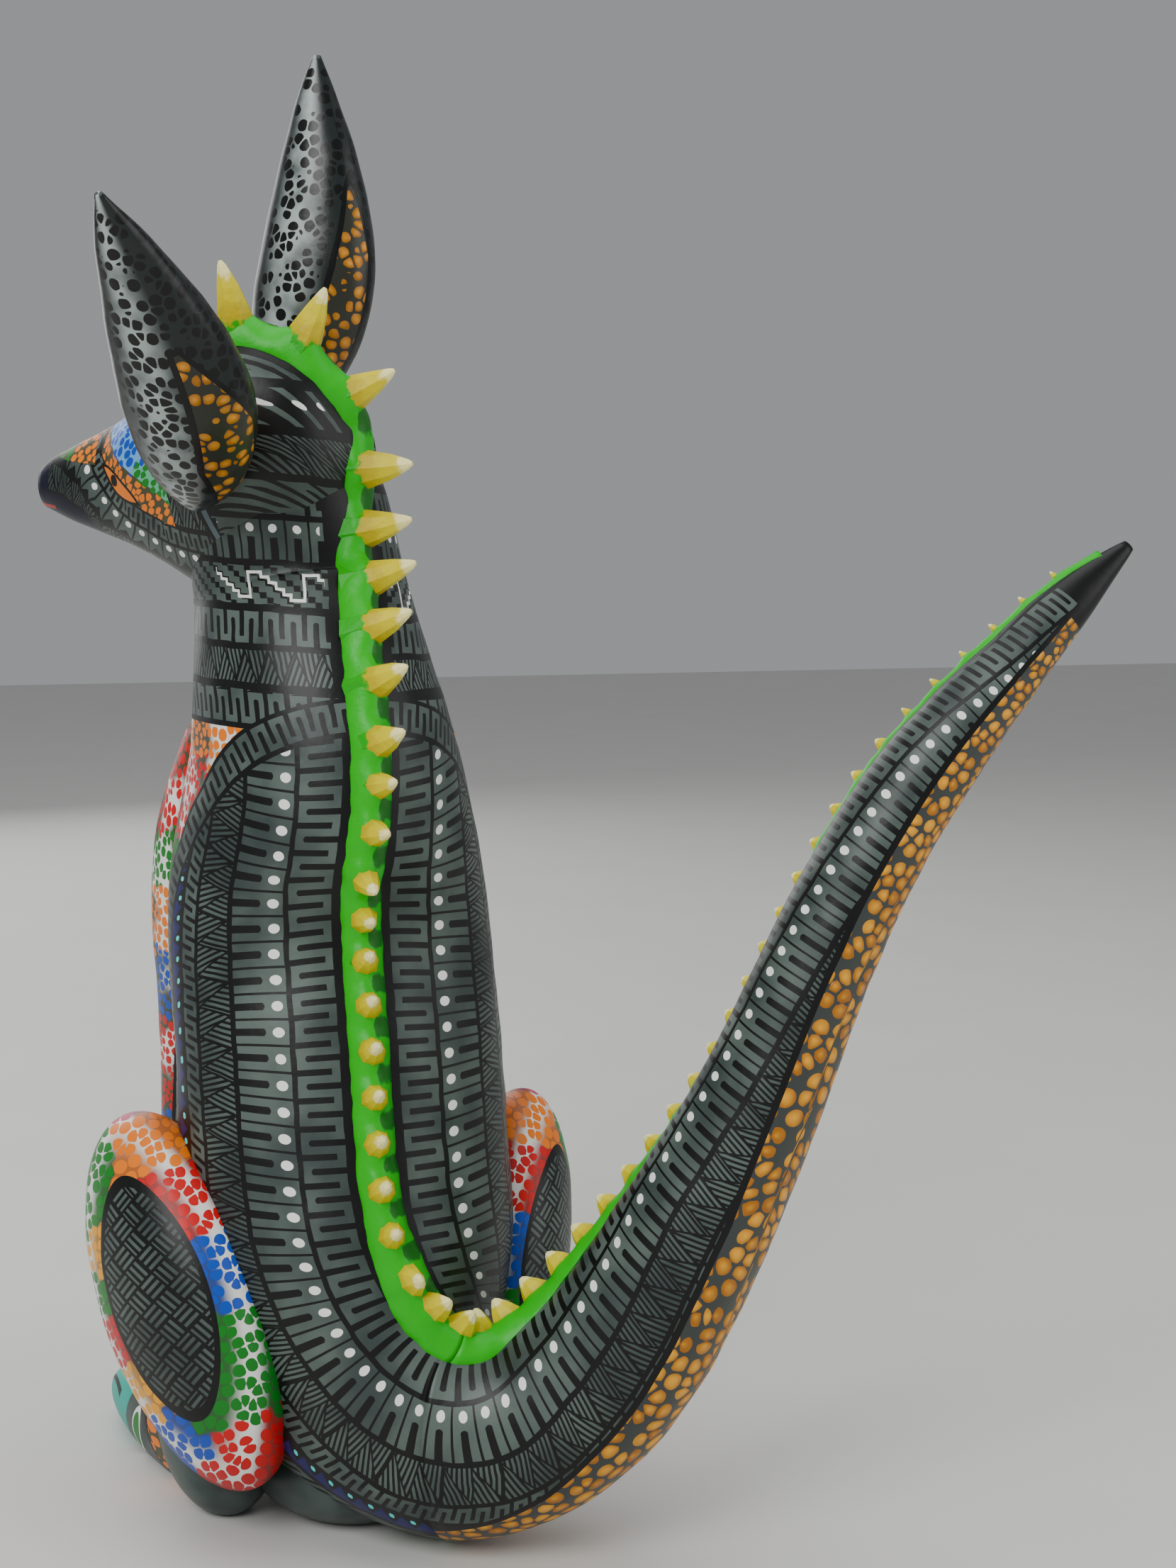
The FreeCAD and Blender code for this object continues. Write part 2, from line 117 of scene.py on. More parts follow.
def addPiece(name, bm):
    mesh = bpy.data.meshes.new(name)
    bm.to_mesh(mesh)
    bm.free()
    piece = bpy.data.objects.new(name, mesh)
    bpy.context.scene.collection.objects.link(piece)
    return piece


# Closed mesh of a ring grid, with one UV layer for each of the maps
def makeSkin(name, grid, maps, floor=None):
    rings, around = grid.shape[:2]
    points = grid.copy()
    if floor is not None:
        points[..., 2] = np.maximum(points[..., 2], floor)
    bm = bmesh.new()
    rows = [[bm.verts.new(p * mm) for p in ring] for ring in points]
    layers = [bm.loops.layers.uv.new(key) for key in maps]
    for i in range(rings - 1):
        for j in range(around):
            k = (j + 1) % around
            face = bm.faces.new((rows[i][j], rows[i + 1][j], rows[i + 1][k], rows[i][k]))
            face.smooth = True
            for layer, values in zip(layers, maps.values()):
                corners = ((i, j), (i + 1, j), (i + 1, j + 1), (i, j + 1))
                for loop, (a, b) in zip(face.loops, corners):
                    loop[layer].uv = values[a][b]
    for row, index in ((rows[0], 0), (rows[-1], rings - 1)):
        hub = bm.verts.new(points[index].mean(axis=0) * mm)
        for j in range(around):
            k = (j + 1) % around
            corners = (row[j], row[k], hub) if index == 0 else (row[k], row[j], hub)
            face = bm.faces.new(corners)
            for layer, values in zip(layers, maps.values()):
                for loop in face.loops:
                    loop[layer].uv = values[index][j]
    bm.normal_update()
    if bm.calc_volume(signed=True) < 0:
        bmesh.ops.reverse_faces(bm, faces=bm.faces)
    return addPiece(name, bm)


# Distance round each ring from the crest, by the shorter way
def ringOffsets(grid):
    closed = np.concatenate([grid, grid[:, :1]], axis=1)
    steps = np.linalg.norm(np.diff(closed, axis=1), axis=2)
    forward = np.concatenate([np.zeros((len(grid), 1)), np.cumsum(steps, axis=1)], axis=1)
    backward = forward[:, -1:] - forward
    return np.minimum(forward, backward), closed


# Length along the skin at one distance off the crest, for each side
def runLengths(closed, offsets, scale, distance):
    around = closed.shape[1] - 1
    half = around // 2
    runs = []
    for columns in (np.arange(0, half + 1), np.arange(around, half - 1, -1)):
        track = []
        for ring, off, k in zip(closed, offsets, scale):
            reach = min(distance * k, off[columns].max() * 0.98)
            track.append([np.interp(reach, off[columns], ring[columns, axis]) for axis in range(3)])
        steps = np.linalg.norm(np.diff(np.array(track), axis=0), axis=1) / scale[1:]
        runs.append(np.concatenate([[0], np.cumsum(steps)]))
    table = np.empty(closed.shape[:2])
    table[:, :half] = runs[0][:, None]
    table[:, half:] = runs[1][:, None]
    return table


# Trunk and tail: side, back, up, deep, wide, turn and lift of each oval, from inside the skull to the tip
trunk = dict(
    stations=[
        (12, -19.5, 250, 11, 11, 42, 8), (10.3, -19.7, 239, 18.5, 18.5, 36, 8),
        (8.5, -20, 229, 22.6, 21.5, 28, 6), (4, -21.5, 204, 26, 23.5, 19, 2),
        (3, -15, 186, 30, 26, 12, 4), (1, -13, 168, 37, 29.5, 5, 2), (0, -14, 142, 38.5, 35, 0, 1),
        (0, -9, 121, 33.5, 36.5, 0, 3), (0, -1.5, 102, 31, 36.5, 0, 4), (0, 2, 79, 34, 37, 0, 8),
        (-1, 6.5, 55, 36, 36, 2, 20), (-3.5, 13.5, 38, 36, 32, 5, 39), (-8, 25, 29, 30, 26, 0, 54),
        (-17.5, 37, 23.5, 22.5, 19, -40, 72)],
    around=128, spacing=1.6)
tail = dict(
    stations=[
        (-36, 46.5, 31.5, 19.5, 17.5, -115, 49), (-51, 54.5, 51, 18, 16, -125, 36),
        (-64.5, 60.5, 78, 16, 14.2, -131, 28), (-73.5, 64, 98, 14, 12.5, -132, 21),
        (-88.5, 68.5, 135, 11.5, 10.5, -134, 21), (-99, 71.5, 156, 10.5, 9.5, -135, 27),
        (-111, 74.5, 174, 9.2, 8.2, -136, 32), (-126, 76.5, 191, 6.8, 6, -132, 37),
        (-139.5, 77.5, 205, 4.5, 4, -128, 42), (-150, 78, 214, 1.2, 1, -128, 43)],
    # the crest turns to the far side between the joint and the tip: distance past the joint, then degrees
    twistAt=[0, 25, 50, 80, 100, 140, 165, 190, 210, 225], twist=[0, 3, 10.5, 23, 26, 23.5, 16, 7.5, 2, 0],
    # degrees round from the crest to where the ochre underside starts
    goldAt=[0, 25, 50, 80, 140, 165, 190, 210], gold=[120, 124, 133, 146, 145, 138, 129, 122])
bend = dict(at=-22, reach=26, passes=260)  # where the back turns up into the tail


# A crest's direction, turned about the line through the ovals on each side of it
def twisted(way, along, degrees):
    way = np.array(way) - along * np.dot(way, along)
    turn = math.radians(degrees)
    return way * math.cos(turn) - np.cross(along, way) * math.sin(turn)


stations = trunk["stations"] + tail["stations"]
middles = np.array([s[:3] for s in stations], float)
jointIndex = len(trunk["stations"]) - 1
jointMark = np.linalg.norm(np.diff(middles[:jointIndex + 1], axis=0), axis=1).sum()
stationMarks = np.concatenate([[0], np.cumsum(np.linalg.norm(np.diff(middles, axis=0), axis=1))])
ways = [np.array(aim(s[5], s[6])) for s in stations]
for i in range(jointIndex + 1, len(stations) - 1):
    along = unit(middles[i + 1] - middles[i - 1])
    ways[i] = twisted(ways[i], along, np.interp(stationMarks[i] - jointMark, tail["twistAt"], tail["twist"]))
spineGrid, spineWay, spineMarks, spineAt = skinRings(
    middles, ways, [s[3] for s in stations], [s[4] for s in stations], trunk["spacing"], trunk["around"])
jointRing = int(np.argmin(np.abs(spineAt - jointMark)))
past = spineAt - jointMark
bendWindow = np.exp(-((past - bend["at"]) / bend["reach"]) ** 2)
columnTurn = 2 * math.pi * np.arange(trunk["around"]) / trunk["around"]
ease = bendWindow[1:-1, None, None] * np.maximum(0, np.cos(columnTurn))[None, :, None] ** 0.7
for _ in range(bend["passes"]):
    pull = spineGrid[:-2] + spineGrid[2:] - 2 * spineGrid[1:-1]
    spineGrid[1:-1] += 0.45 * ease * pull
offsets, closed = ringOffsets(spineGrid)
rowScale = np.interp(past, [-60, 15, 60, 110, 160, 200, 230], [1, 0.96, 0.94, 0.9, 0.86, 0.74, 0.6])
dotScale = np.interp(past, [-60, 0, 40, 120, 180, 230], [2.9, 3.6, 4.1, 3.9, 3.0, 2.0])
goldTurn = np.radians(np.interp(past, tail["goldAt"], tail["gold"]))
halfTurn = trunk["around"] // 2 + 1
goldArc = np.array([np.interp(turn, columnTurn[:halfTurn], row[:halfTurn])
                    for turn, row in zip(goldTurn, offsets)])
scaledOff = offsets / rowScale[:, None]
rowMiddles = (11, 22.5, 35, 43, 60)  # distance off the crest at which each row's length is measured
tracks = [runLengths(closed, offsets, rowScale, middle) for middle in rowMiddles]
dotRun = runLengths(closed, offsets, dotScale, 10)
spineMaps = {
    "rowsNear": np.stack([scaledOff, tracks[0]], axis=-1),
    "rowsDots": np.stack([tracks[1], tracks[2]], axis=-1),
    "rowsFar": np.stack([tracks[3], tracks[4]], axis=-1),
    "tailPast": np.stack([np.broadcast_to(past[:, None], offsets.shape),
                          scaledOff - (goldArc / rowScale)[:, None]], axis=-1),
    "cells": np.stack([offsets / dotScale[:, None], dotRun], axis=-1),
}
spineCrest = spineGrid[:, 0].copy()
spineGrid = carve(spineGrid, 0.25, 8.0)

bodyPieces = []


def cutMaps(maps, start, end):
    return {key: values[start:end] for key, values in maps.items()}


trunkMaps = cutMaps(spineMaps, 0, jointRing + 1)
tailMaps = cutMaps(spineMaps, jointRing, len(spineGrid))
trunkPiece = makeSkin("trunk", spineGrid[:jointRing + 1], trunkMaps, floor=0)
tailPiece = makeSkin("tailSkin", spineGrid[jointRing:], tailMaps, floor=0)
bodyPieces.append(trunkPiece)
print("stage trunk and tail", len(spineGrid), "rings")

# The head turns to its left, dips and cocks over
headTurn, headDip, headCock = (math.radians(degrees) for degrees in (-36, -2, 24))
headAhead = np.array((math.cos(headTurn), math.sin(headTurn), math.tan(headDip))) * math.cos(headDip)
level = np.array((-math.sin(headTurn), math.cos(headTurn), 0))
upright = np.cross(headAhead, level)
headLeft = level * math.cos(headCock) - upright * math.sin(headCock)
headUp = upright * math.cos(headCock) + level * math.sin(headCock)
skull = np.array((13.5, -19.0, 234.0))


def inHead(ahead, left, up):
    return skull + headAhead * ahead + headLeft * left + headUp * up


# ahead, drop, tall, wide of each oval, from the back of the skull to the nose
head = dict(
    stations=[(-26.5, 0, 6, 5), (-22, 1.5, 17, 13), (-11, 4, 30, 20.5), (1, 5.4, 33.4, 22), (14, 6, 27.5, 18.5),
              (27, 5.6, 18, 14), (41, 5.2, 11.4, 9.5), (50, 5, 7.4, 7), (55.5, 5.2, 4.4, 4.2)],
    around=112, spacing=1.1, jawUp=[-38, -32, -26, -20, -12, -4, 6], jawAhead=[3, 1, 0, 0.2, 2, 4.5, 4.5],
    bumps=[  # ahead, left, up, radius, height: brows, cheeks, eye sockets and the nose pad
        (26, 12.5, 9, 7, 3.2), (26, 17, 1, 5.5, 1.4), (52, 0, 0.5, 4, 0.6), (33, 12, 1, 4, -0.8)],
    dotsRow=[  # ahead, up of the row of white dots from the jaw to the bridge
        (-32, -17.5), (6, -17), (12, -16.6), (18, -15.6), (23, -13.5), (28, -11), (31, -8.4), (34, -5.3),
        (36.5, -2), (38.5, 1.5), (41, 4.5), (46, 7), (60, 9)])


def headSkin():
    marks = np.array([s[0] for s in head["stations"]], float)
    at = np.arange(marks[0], marks[-1] + 0.01, head["spacing"])
    table = splineThrough(marks, np.array([s[1:] for s in head["stations"]], float), at)
    turn = np.linspace(0, 2 * math.pi, head["around"], endpoint=False)
    ahead = np.repeat(at[:, None], head["around"], axis=1)
    up = table[:, 1:2] * np.cos(turn) - table[:, 0:1]
    left = table[:, 2:3] * np.sin(turn)
    local = np.stack([ahead, left, up], axis=-1)
    middle = np.stack([at, 0 * at, -table[:, 0]], axis=-1)[:, None]
    outward = unit(local - middle)
    for a, l, u, radius, height in head["bumps"]:
        for side in (1, -1) if l else (1,):
            far = np.linalg.norm(local - np.array((a, l * side, u)), axis=-1)
            local = local + outward * (height * np.exp(-(far / radius) ** 2))[..., None]
    off = ringOffsets(local)[0]
    wrapped = np.concatenate([local, local[:, :1]], axis=1)
    curveAhead, curveUp = np.array(head["dotsRow"], float).T
    fine = np.arange(-32, 60, 0.5)
    path = np.interp(fine, curveAhead, curveUp)
    slope = np.gradient(path, fine)
    length = np.concatenate([[0], np.cumsum(np.hypot(np.diff(fine), np.diff(path)))])
    steep = np.interp(wrapped[..., 0], fine, slope)
    row = (wrapped[..., 2] - np.interp(wrapped[..., 0], fine, path)) / np.hypot(1, steep)
    run = np.interp(wrapped[..., 0] + row * steep / np.hypot(1, steep), fine, length)
    maps = {"headSide": wrapped[..., [0, 2]], "rowsNear": np.stack([off, wrapped[..., 1]], axis=-1),
            "faceRows": np.stack([row, run], axis=-1),
            "cells": np.stack([wrapped[..., 0], off], axis=-1) / dotPitch["face"]}
    jawAt = np.interp(wrapped[..., 2], head["jawUp"], head["jawAhead"])
    maps["jawEdge"] = np.stack([wrapped[..., 0] - jawAt, wrapped[..., 2]], axis=-1)
    grid = skull + local @ np.array([headAhead, headLeft, headUp])
    return makeSkin("headSkin", carve(grid, 0.2, 7.0, 3.0), maps)


headPiece = headSkin()
bodyPieces.append(headPiece)


def turned(axis, degrees):
    return np.array(Matrix.Rotation(math.radians(degrees), 3, axis))


foreleg = dict(
    stations=[(18.5, -33, 170, 11, 10), (22, -37, 148, 16.5, 13), (24, -46, 102, 12.5, 10.5),
              (25, -51, 62, 9.5, 9), (25.5, -53, 22, 8.6, 8.4), (26, -56, 2, 11, 9.4)],
    around=64, spacing=1.5)
eggs = {  # side, back, up, radii along its length, width and depth, slope, splay, tuck
    "paw": ((26, -64, 3), (9.5, 9.6, 17), 0, 0, 0),
    "haunchLeft": ((35.5, 4.5, 49.5), (43, 18, 27.5), 25, 15, 10),
    "haunchRight": ((37.5, -4, 46), (43, 16, 23), 25, 15, 10),
    "hock": ((29, -1, 18), (20, 13, 14), 30, 15, 0),
    "foot": ((33.5, -28, 7.5), (9.8, 9, 38), 0, 15, 0),
}
legPieces = {}
for sideName, side in (("Left", 1), ("Right", -1)):
    middles = [(s[0] * side, s[1], s[2]) for s in foreleg["stations"]]
    grid, _, _, at = skinRings(middles, [(0, 1, 0)] * len(middles), [s[3] for s in foreleg["stations"]],
                               [s[4] for s in foreleg["stations"]], foreleg["spacing"], foreleg["around"])
    off, _ = ringOffsets(grid)
    run = np.repeat(at[:, None], foreleg["around"] + 1, axis=1)
    rows = np.stack([off, run], axis=-1)
    maps = {"legRows": rows, "cells": rows / dotPitch["forelegs"]}
    legPieces["foreleg" + sideName] = makeSkin("foreleg" + sideName, carve(grid, 0.2, 8, 5), maps, floor=0)
    for name, (centre, radii, slope, splay, tuck) in eggs.items():
        if name.startswith("haunch") and not name.endswith(sideName):
            continue
        name = name.removesuffix(sideName)
        turn = turned("Z", side * splay) @ turned("Y", side * tuck) @ turned("X", slope)
        axes = (turn @ np.array((0, 0, 1)), turn @ np.array((1, 0, 0)), turn @ np.array((0, 1, 0)))
        spot = (centre[0] * side, centre[1], centre[2])
        grid, spread = eggGrid(spot, axes, radii, side, 64, 72)
        legPieces[name + sideName] = makeSkin(name + sideName, carve(grid, 0.2, 8, 7), spread, floor=0)
seatGrid, _ = eggGrid((-1, 5, 11), np.eye(3), (24, 26, 14), 1, 40, 48)
seatPiece = makeSkin("seatSkin", seatGrid, {}, floor=0)
legPieces["seat"] = seatPiece
bodyPieces += list(legPieces.values())

ear = dict(
    stations=[(0, 0, 3, 2.4), (6, 1.5, 8, 6), (15, 3.5, 12, 9), (30, 5.5, 14.2, 10), (46, 5, 12.5, 8.6),
              (62, 3, 8.5, 5.8), (75, 1, 4.2, 3), (83, 0, 0.9, 0.7)],
    splay=23, lean=10, foot=(5, 23.5, -1), around=80, spacing=1.2,
    # heights, then the turns in degrees between which the ochre panel lies at each
    panelLeft=((0, 4, 8, 20, 30, 50, 53), (24, 24, 14, 5, 10, 62, 80), (24, 26, 46, 68, 69, 68, 60)),
    panelRight=((0, 8, 14, 21, 40, 54, 56), (40, 30, 12, 12, 13, 28, 40), (36, 44, 60, 66, 52, 36, 30)))
earPieces = {}
for sideName, side in (("Left", 1), ("Right", -1)):
    splay, lean = math.radians(ear["splay"]), math.radians(ear["lean"])
    upright = headUp * math.cos(splay) + headLeft * side * math.sin(splay)
    earWay = upright * math.cos(lean) - headAhead * math.sin(lean)
    foot = inHead(ear["foot"][0], ear["foot"][1] * side, ear["foot"][2])
    middles = [foot + earWay * s[0] - headAhead * s[1] for s in ear["stations"]]
    grid, _, _, at = skinRings(middles, [-headAhead] * len(middles), [s[2] for s in ear["stations"]],
                               [s[3] for s in ear["stations"]], ear["spacing"], ear["around"])
    height = np.repeat(at[:, None], ear["around"] + 1, axis=1)
    # degrees round the ear from its back, positive on the animal's left side
    leftTurn = 180 - (np.arange(ear["around"] + 1) / ear["around"] * 360 + 180) % 360
    edges = ear["panel" + sideName]
    inner, outer = (np.interp(at, edges[0], edges[k])[:, None] for k in (1, 2))
    reach = np.minimum(leftTurn[None] - inner, outer - leftTurn[None])
    mirror = np.minimum(-leftTurn[None] - inner, outer + leftTurn[None])
    panel = np.maximum(reach, mirror) * 0.2
    maps = {"earPanel": np.stack([panel, height], axis=-1),
            "earTurn": np.stack([np.repeat(np.abs(leftTurn)[None], len(at), axis=0), height], axis=-1)}
    earPieces[sideName] = makeSkin("earSkin" + sideName, carve(grid, 0.2, 7, 9), maps)
print("stage head, legs and ears")

ridge = dict(
    radius=4.6, stand=2.5, tailEnd=221, tailRadius=1.6, start=10, pitch=1.0, around=28, crownPoints=12,
    # distance along the crest, then half the ridge's width there
    widthAt=[0, 20, 110, 140, 225, 245, 272, 300, 330], width=[5.4, 5.4, 5.0, 4.8, 4.8, 6.2, 6.4, 4.6, 4.0])
headMarks = [s[0] for s in head["stations"]]
crownAt = np.linspace(14, -22, ridge["crownPoints"])
crownRows = splineThrough(headMarks, [(s[1], s[2]) for s in head["stations"]], crownAt)
crownPoints = [inHead(a, 0, tall - drop) for a, (drop, tall) in zip(crownAt, crownRows)]
throatRing = int(np.argmin(np.abs(spineAt - spineMarks[3])))
backPicks = np.linspace(throatRing, jointRing, 40)
tailPicks = np.linspace(jointRing, len(spineAt) - 1, 40)
picks = np.unique(np.concatenate([backPicks, tailPicks]).round().astype(int))
crestPoints = np.array(crownPoints + [spineCrest[i] for i in picks])
crestOut = np.array([headUp] * ridge["crownPoints"] + [spineWay[i] for i in picks])
crestMarks = np.concatenate([[0], np.cumsum(np.linalg.norm(np.diff(crestPoints, axis=0), axis=1))])
backLength = crestMarks[ridge["crownPoints"] + int(np.searchsorted(picks, jointRing))]


def crestAt(distance):
    distance = np.atleast_1d(np.asarray(distance, float))
    spot = splineThrough(crestMarks, crestPoints, distance)
    after = splineThrough(crestMarks, crestPoints, distance + 0.2)
    along = unit(after - splineThrough(crestMarks, crestPoints, distance - 0.2))
    outward = np.stack([np.interp(distance, crestMarks, crestOut[:, axis]) for axis in range(3)], axis=-1)
    outward = unit(outward - along * np.sum(outward * along, axis=1, keepdims=True))
    return spot, along, outward


def beadScale(distance):
    past = np.maximum(0, distance - backLength) / ridge["tailEnd"]
    return 1 + (ridge["tailRadius"] / ridge["radius"] - 1) * past


# first distance, step, count, first and last length, first and last radius, and where it is counted from
spines = {
    "headSpines": (18, 14, 3, 13.5, 11, 4.3, 4.1, "back"),
    "neckSpines": (61, 12.8, 6, 12.0, 8.4, 4.6, 4.0, "back"),
    "backSpines": (134, 9.6, 11, 6.8, 6.2, 3.4, 3.4, "back"),
    "rumpSpines": (240, 8, 3, 5.5, 5.2, 3.2, 3.2, "back"),
    "tailSpines": (6, 8.2, 26, 4.8, 1.5, 3.0, 0.9, "tail"),
}
thornLean = dict(at=[15, 30, 58, 95, 135, 170], degrees=[0, -18, -50, -38, -14, 0])  # to the figure's right
thorns = []
for group, (first, step, count, length, lastLength, radius, lastRadius, where) in spines.items():
    for index in range(count):
        share = index / (count - 1)
        distance = first + index * step + (backLength if where == "tail" else 0)
        thorns.append((group, distance, length + (lastLength - length) * share,
                       radius + (lastRadius - radius) * share))


def ridgeSkin(name, start, end):
    count = round((end - start) / ridge["pitch"])
    at = np.linspace(start, end, count + 1)
    spot, along, outward = crestAt(at)
    side = np.cross(along, outward)
    scale = beadScale(at)
    width = np.interp(at, ridge["widthAt"], ridge["width"])
    width = np.where(at > 300, np.minimum(width, 4.9 * scale), width)
    swell = np.zeros_like(at)
    # painted shadow just past each thorn, for the ridge's paint
    shadow = np.zeros_like(at)
    for _, distance, length, radius in thorns:
        swell = np.maximum(swell, length * np.exp(-((at - distance) / (radius * 1.05)) ** 2))
        shadow = np.maximum(shadow, np.exp(-((at - distance - radius * 1.35) / (radius * 0.8)) ** 2))
    turn = np.linspace(0, 2 * math.pi, ridge["around"], endpoint=False)
    rise = scale[:, None] * (ridge["radius"] * np.cos(turn) - ridge["radius"] + ridge["stand"])
    rise = rise + (0.2 * swell[:, None]) * np.maximum(np.cos(turn), 0) ** 4
    across = width[:, None] * np.sin(turn)
    grid = spot[:, None] + rise[..., None] * outward[:, None] + across[..., None] * side[:, None]
    shade = np.stack([np.repeat(np.append(turn, 2 * math.pi)[None], len(at), axis=0),
                      np.repeat(shadow[:, None], len(turn) + 1, axis=1)], axis=-1)
    return makeSkin(name, carve(grid, 0.35, 3.2, 11), {"ridgeShade": shade})


def thornMesh(name, members):
    bm = bmesh.new()
    layer = bm.loops.layers.uv.new("thornHeight")
    for number, (_, distance, length, radius) in enumerate(members):
        spot, along, outward = (row[0] for row in crestAt(distance))
        side = np.cross(along, outward)
        tilt = math.radians(np.interp(distance, thornLean["at"], thornLean["degrees"]))
        upright = outward
        outward = upright * math.cos(tilt) + side * math.sin(tilt)
        side = side * math.cos(tilt) - upright * math.sin(tilt)
        scale = float(beadScale(distance))
        sides = 8
        total = length + ridge["stand"] * scale
        longer = 1.5 if distance > 236 and radius > 1.4 else 1.05
        rings = []
        for height, share in ((-0.25, 1.12), (0.3, 0.86), (0.66, 0.56), (0.93, 0.24), (1.0, 0.1)):
            ring = []
            for corner in range(sides):
                turn = 2 * math.pi * (corner + 0.5 * (number % 2)) / sides
                rough = 1 + 0.1 * noise.noise(Vector((number * 3.7, corner * 1.3, height * 4)))
                reach = radius * share * rough
                lean = 0.1 * length * height * abs(height)
                place = (spot + outward * (total * height) + along * (math.cos(turn) * reach * longer - lean)
                         + side * (math.sin(turn) * reach))
                ring.append(bm.verts.new(place * mm))
            rings.append((height, ring))
        faces = []
        for (low, ring), (high, after) in zip(rings, rings[1:]):
            for corner in range(sides):
                nextCorner = (corner + 1) % sides
                face = bm.faces.new((ring[corner], ring[nextCorner], after[nextCorner], after[corner]))
                faces.append((face, (low, low, high, high), (corner, corner + 1, corner + 1, corner)))
        for ring, height in ((list(reversed(rings[0][1])), rings[0][0]), (rings[-1][1], 1.0)):
            faces.append((bm.faces.new(ring), (height,) * sides, range(sides)))
        for face, heights, corners in faces:
            for loop, height, corner in zip(face.loops, heights, corners):
                loop[layer].uv = (number + corner / sides * 0.99, height)
    bmesh.ops.recalc_face_normals(bm, faces=bm.faces)
    return addPiece(name, bm)


backRidgePiece = ridgeSkin("ridgeBack", ridge["start"], backLength - 0.05)
tailRidgePiece = ridgeSkin("ridgeTail", backLength + 0.05, backLength + ridge["tailEnd"])
thornPieces = {group: thornMesh(group, [t for t in thorns if t[0] == group]) for group in spines}
print("stage ridge and thorns, back length", round(float(backLength), 1))


def hexColour(text):
    channels = [int(text[i:i + 2], 16) / 255 for i in (1, 3, 5)]
    return [c / 12.92 if c <= 0.04045 else ((c + 0.055) / 1.055) ** 2.4 for c in channels] + [1.0]


# sRGB colours of the paints
paints = dict(
    black="#070808", white="#f2f2ee", slateDark="#35403e", slatePale="#58655f",
    green="#0a7a1c", orange="#ee7a06", blue="#0c48b4", red="#cc0c10", yellow="#f0a410", crimson="#c8285a",
    violet="#16165c", cyan="#48e0e0", turquoise="#0aa898", olive="#47472c")


def addNode(tree, kind, inputs=None, **settings):
    node = tree.nodes.new("ShaderNode" + kind)
    for key, value in settings.items():
        setattr(node, key, value)
    for key, value in (inputs or {}).items():
        connect(tree, node.inputs[key], value)
    return node


def connect(tree, socket, value):
    if isinstance(value, Field):
        value = value.socket
    if isinstance(value, bpy.types.NodeSocket):
        tree.links.new(value, socket)
    else:
        socket.default_value = value


# A value in a shader that can be reckoned with like a number
class Field:
    def __init__(self, tree, socket):
        self.tree = tree
        self.socket = socket

    def math(self, operation, *others):
        node = addNode(self.tree, "Math", operation=operation)
        for socket, value in zip(node.inputs, (self,) + others):
            connect(self.tree, socket, value)
        return Field(self.tree, node.outputs[0])

    # the rest of a mask
    def __invert__(self):
        return self * -1 + 1

    # 1 between two values, 0 outside
    def within(self, low, high):
        return self.math("COMPARE", (low + high) / 2, (high - low) / 2)

    # runs up and down between 0 and half
    def fold(self, half):
        return self.math("PINGPONG", half)

    def size(self):
        return self.math("ABSOLUTE")

    def length(self, other):
        return (self * self + other * other).math("SQRT")

    def ramp(self, low, high, to0=0.0, to1=1.0):
        node = addNode(self.tree, "MapRange", {0: self, 1: low, 2: high, 3: to0, 4: to1},
                       interpolation_type="SMOOTHSTEP")
        return Field(self.tree, node.outputs[0])


# The maths behind each sign; between masks & means both and | means either
signs = {"add": "ADD", "sub": "SUBTRACT", "mul": "MULTIPLY", "truediv": "DIVIDE", "lt": "LESS_THAN",
         "gt": "GREATER_THAN", "and": "MULTIPLY", "or": "MAXIMUM"}
for sign, operation in signs.items():
    setattr(Field, f"__{sign}__", lambda self, other, operation=operation: self.math(operation, other))


def uvFields(tree, name):
    split = addNode(tree, "SeparateXYZ", {0: addNode(tree, "UVMap", uv_map=name).outputs[0]})
    return Field(tree, split.outputs[0]), Field(tree, split.outputs[1])


# Object coordinates in millimetres, as one vector and as three values
def placeFields(tree):
    scaled = addNode(tree, "VectorMath", {0: addNode(tree, "TexCoord").outputs["Object"], "Scale": 1000.0},
                     operation="SCALE")
    split = addNode(tree, "SeparateXYZ", {0: scaled.outputs[0]})
    return scaled.outputs[0], [Field(tree, split.outputs[i]) for i in range(3)]


def noiseField(tree, vector, size, detail=2.0, offset=0.0):
    node = addNode(tree, "TexNoise", {"Vector": vector, "Scale": 1 / size, "Detail": detail})
    return Field(tree, node.outputs["Fac"]) + offset


# Moves a painted line off its true place, as a hand does
def wobbled(tree, vector, field, size=5.0, amount=0.7):
    return field + (noiseField(tree, vector, size, 1.0) - 0.5) * amount


def mixColour(tree, factor, low, high):
    node = addNode(tree, "Mix", data_type="RGBA")
    for index, value in ((0, factor), (6, low), (7, high)):
        if isinstance(value, str):
            value = hexColour(paints.get(value, value))
        connect(tree, node.inputs[index], value)
    return node.outputs[2]


# Colours laid over one another, each within its own mask
def layered(tree, colour, *layers):
    for mask, over in layers:
        colour = mixColour(tree, mask, colour, over)
    return colour


# Patches of colour along a value: each begins at its own place
def patchColours(tree, value, low, high, patches):
    node = addNode(tree, "ValToRGB", {0: (value - low) * (1 / (high - low))})
    node.color_ramp.interpolation = "CONSTANT"
    elements = node.color_ramp.elements
    while len(elements) > 1:
        elements.remove(elements[-1])
    for index, (at, colour) in enumerate(patches):
        share = max(0, min(1, (at - low) / (high - low)))
        element = elements[0] if index == 0 else elements.new(share)
        element.position = share
        element.color = hexColour(paints.get(colour, colour))
    return node.outputs[0]


